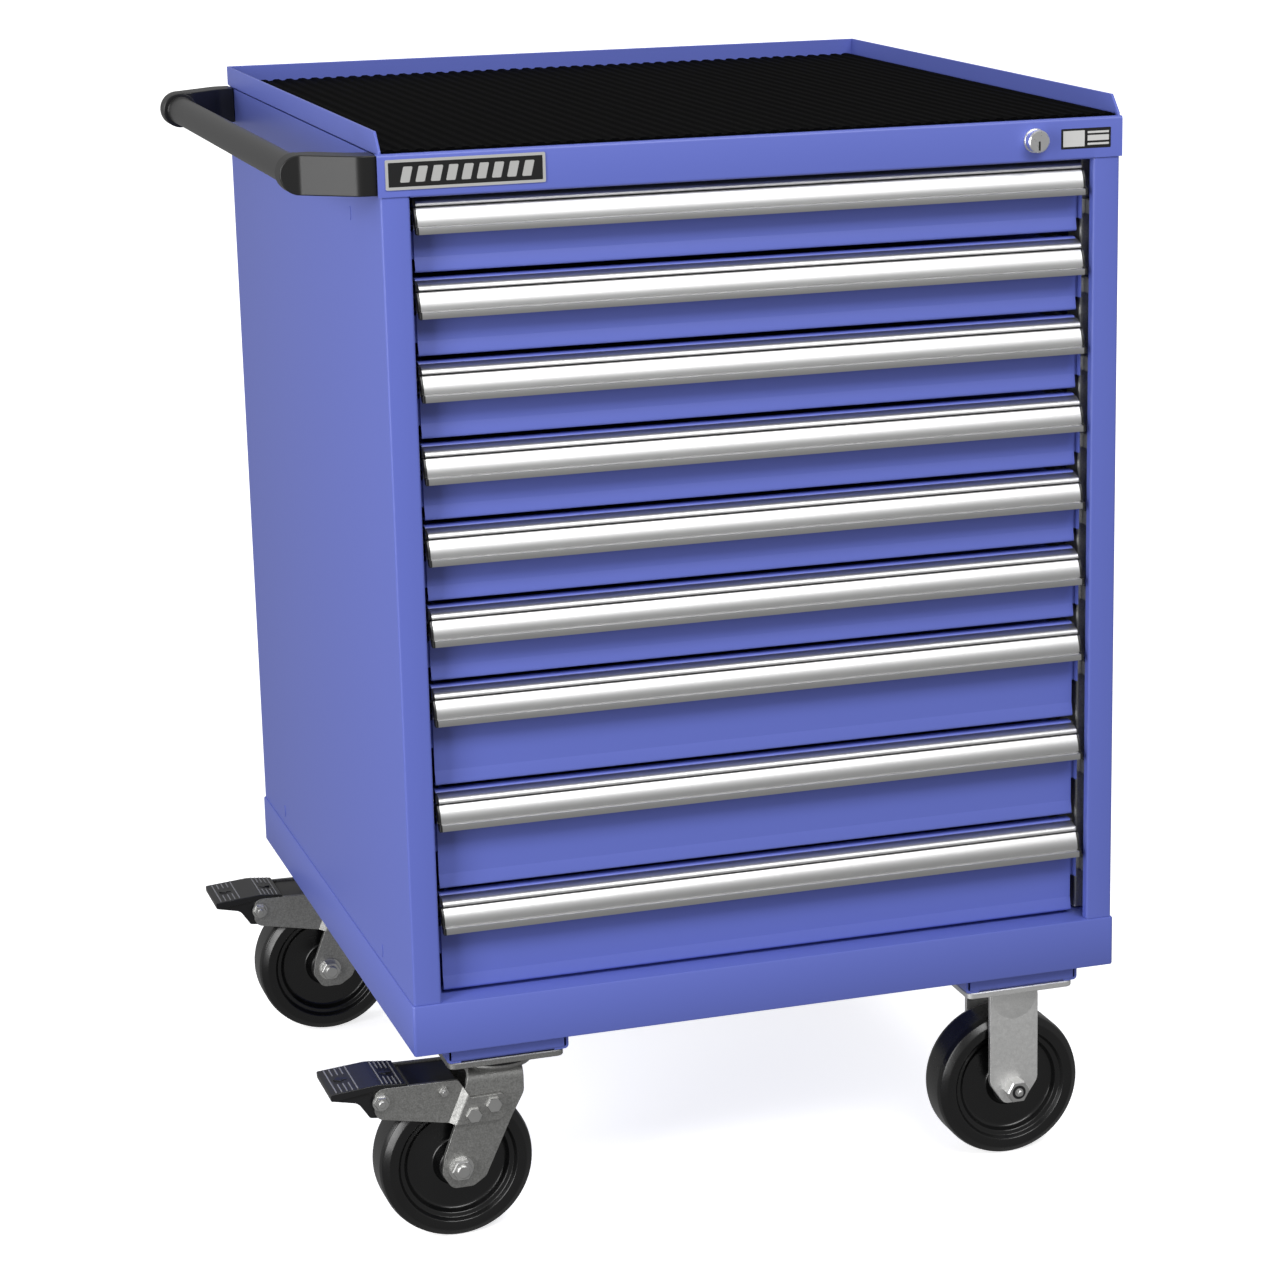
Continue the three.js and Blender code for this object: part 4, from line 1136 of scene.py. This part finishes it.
def show_swivel_caster(name, y):
    x = CASTER_LEFT_X
    swivel = f"{name}_swivel"
    # The swivel caster's plate, fork and brake arms are in the darker zinc: painted shade.
    show(mounting_plate(x, y), f"{name}_top_plate", ZINC_PAINTED_SHADE, "housing", [f"{name}_plate"])
    # The race in satin black: painted shade under the plate.
    show(race(x, y), f"{name}_race", SATIN_BLACK_AND_SHADE, "housing")
    show(dust_ring(x, y), f"{name}_seal", BLACK_PLASTIC_AND_SHADE, swivel)
    show(swivel_fork(x, y), f"{name}_yoke", ZINC_PAINTED_SHADE, swivel, [f"{name}_fork"], bevel=0.6)
    show(brake_bracket(x, y), f"{name}_brake_arms", ZINC_PAINTED_SHADE, swivel, [f"{name}_brake_bracket"], bevel=0.4)
    show(brake_cover(x, y), f"{name}_brake_cover", SATIN_BLACK_AND_SHADE, swivel, bevel=0.3)
    show(brake_bolts(x, y), f"{name}_brake_bolts", BRIGHT, swivel)
    show(pedal_body(x, y), f"{name}_pedal_body", BLACK_PLASTIC_AND_SHADE, f"{name}_pedal", [f"{name}_brake_pedal"], bevel=0.8)
    show(pedal_ribs(x, y), f"{name}_pedal_ribs", RIB_PLASTIC, f"{name}_pedal")
    show(pedal_arrows(x, y), f"{name}_pedal_arrows", BLACK_PLASTIC_AND_SHADE, f"{name}_pedal", bevel=0.2)
    show(wheel(x - TRAIL, y), f"{name}_roller", PHENOLIC, f"{name}_wheel", [f"{name}_wheel"])
    show(axle_body(x - TRAIL, y), f"{name}_axle_bolt", ZINC, swivel, [f"{name}_axle"])
    show(axle_hexes(x - TRAIL, y), f"{name}_axle_nuts", BRIGHT, swivel)


def show_rigid_caster(name, y):
    x = CASTER_RIGHT_X
    # The rigid caster's plate and legs are in the lighter zinc: painted light.
    show(mounting_plate(x, y), f"{name}_top_plate", ZINC_PAINTED_LIGHT, "housing")
    show(rigid_bracket(x, y), f"{name}_legs", ZINC_PAINTED_LIGHT, "housing", [f"{name}_bracket"], bevel=0.6)
    show(wheel(x, y), f"{name}_roller", PHENOLIC, f"{name}_wheel", [f"{name}_wheel"])
    show(axle_body(x, y), f"{name}_axle_bolt", ZINC, "housing", [f"{name}_axle"])
    show(long_axle_hexes(x, y), f"{name}_axle_nuts", BRIGHT, "housing")
    # Black discs on the nut ends: painted shade.
    show(nut_cup_shades(x, y), f"{name}_nut_cup_shades", BLACK_PLASTIC_AND_SHADE, "housing")
    show(grease_nipples(x, y), f"{name}_grease_nipples", BRIGHT, "housing")


# ---------- surroundings, light and camera ----------


# The floor in metres: its front edge, the start and radius of its bend, its head and half its width.
FLOOR_FRONT = -9
FLOOR_BACK = 7
FLOOR_BEND = 3
FLOOR_HEAD = 9
FLOOR_HALF = 12
# Two distances behind the chest's middle, and how strongly the floor glows at each.
FLOOR_FADE = (0.8, 4.0)
FLOOR_GLOW = (0.74, 1.0)


def show_floor():
    """A wide pale sheet that curves up far behind the chest."""
    mesh = bmesh.new()
    curve = [(FLOOR_FRONT, 0), (FLOOR_BACK, 0)]
    for a in (math.radians(degrees) for degrees in range(6, 91, 6)):
        curve.append((FLOOR_BACK + FLOOR_BEND * math.sin(a), FLOOR_BEND - FLOOR_BEND * math.cos(a)))
    curve.append((FLOOR_BACK + FLOOR_BEND, FLOOR_HEAD))
    rows = [[mesh.verts.new((x, y, z)) for y, z in curve] for x in (-FLOOR_HALF, FLOOR_HALF)]
    for i in range(len(curve) - 1):
        face = mesh.faces.new((rows[0][i], rows[1][i], rows[1][i + 1], rows[0][i + 1]))
        face.smooth = True
    data = bpy.data.meshes.new("floor")
    mesh.to_mesh(data)
    mesh.free()
    look = Look("floor_pale", (0.9, 0.9, 0.9), 0.7)
    look.set("Emission Color", (1.0, 1.0, 1.0, 1.0))
    look.bump(look.noise(40, 2), 0.02, 0.001)
    # The sheet glows a little, and more behind the chest, so that it is as pale there as in front.
    nodes, links = look.tree.nodes, look.tree.links
    split = nodes.new("ShaderNodeSeparateXYZ")
    links.new(look.coordinates.outputs["Object"], split.inputs["Vector"])
    glow = spread(look.tree, split.outputs["Y"], FLOOR_FADE, FLOOR_GLOW)
    links.new(glow, look.shader.inputs["Emission Strength"])
    data.materials.append(look.material)
    floor = bpy.data.objects.new("floor", data)
    floor.visible_glossy = False
    floor.visible_diffuse = False
    bpy.context.scene.collection.objects.link(floor)


def area_light(name, place, target, size, power):
    light = bpy.data.lights.new(name, "AREA")
    light.shape = "RECTANGLE"
    light.size, light.size_y = size
    light.energy = power
    lamp = bpy.data.objects.new(name, light)
    lamp.location = place
    lamp.rotation_euler = (Vector(target) - Vector(place)).to_track_quat("-Z", "Y").to_euler()
    bpy.context.scene.collection.objects.link(lamp)


# Name, place and size in metres, and power in watts, of each soft light.
LIGHTS = [
    ("key", (-2.7, -1.95, 1.2), (1.2, 2.4), 60),
    ("front", (0.6, -3.2, 3.5), (2.8, 1.4), 96),
    ("side", (-3.8, 0.9, 1.8), (1.6, 2.2), 46),
    ("top", (0.2, 0.9, 3.4), (3.0, 1.6), 12),
]
LIGHTS_TARGET = (0, 0, 0.55)
# Strength of the surroundings' light below and above the horizon.
HORIZON_LIGHT = (0.27, 0.36)


def light_scene():
    for name, place, size, power in LIGHTS:
        area_light(name, place, LIGHTS_TARGET, size, power)
    world = bpy.data.worlds.new("studio")
    world.use_nodes = True
    nodes, links = world.node_tree.nodes, world.node_tree.links
    coordinates = nodes.new("ShaderNodeTexCoord")
    split = nodes.new("ShaderNodeSeparateXYZ")
    nodes["Background"].inputs["Color"].default_value = (1.0, 1.0, 1.0, 1.0)
    links.new(coordinates.outputs["Generated"], split.inputs["Vector"])
    light = spread(world.node_tree, split.outputs["Z"], (-0.3, 0.3), HORIZON_LIGHT)
    # Past the floor's edge the surroundings look white, whatever light they give.
    seen = nodes.new("ShaderNodeLightPath")
    strength = nodes.new("ShaderNodeMath")
    strength.operation = "MAXIMUM"
    links.new(light, strength.inputs[0])
    links.new(seen.outputs["Is Camera Ray"], strength.inputs[1])
    links.new(strength.outputs["Value"], nodes["Background"].inputs["Strength"])
    bpy.context.scene.world = world


# Place in metres, angles in degrees (yaw from +Y towards +X, pitch down), lens in millimetres.
CAMERA = {
    "place": (-0.99335, -3.37865, 1.40758),
    "yaw": 18.408,
    "pitch": 14.666,
    "roll": -0.932,
    "lens": 97.66,
    "shift": (-0.08, 0.00625),
}


def place_camera():
    yaw, pitch, roll = (math.radians(CAMERA[key]) for key in ("yaw", "pitch", "roll"))
    forward = Vector((math.sin(yaw) * math.cos(pitch), math.cos(yaw) * math.cos(pitch), -math.sin(pitch)))
    level = Vector((math.cos(yaw), -math.sin(yaw), 0))
    upright = level.cross(forward)
    right = math.cos(roll) * level + math.sin(roll) * upright
    up = -math.sin(roll) * level + math.cos(roll) * upright
    data = bpy.data.cameras.new("camera")
    data.sensor_width = 36
    data.lens = CAMERA["lens"]
    data.shift_x, data.shift_y = CAMERA["shift"]
    camera = bpy.data.objects.new("camera", data)
    turn = Matrix((right, up, -forward)).transposed().to_4x4()
    camera.matrix_world = Matrix.Translation(CAMERA["place"]) @ turn
    bpy.context.scene.collection.objects.link(camera)
    bpy.context.scene.camera = camera


show_housing()
show_handle()
show_lock()
show_drawers()
for row, y in CASTER_ROWS.items():
    show_swivel_caster(f"caster_{row}_left", y)
    show_rigid_caster(f"caster_{row}_right", y)
show_floor()
light_scene()
place_camera()

scene = bpy.context.scene
scene.view_settings.view_transform = "Standard"
scene.view_settings.look = "None"
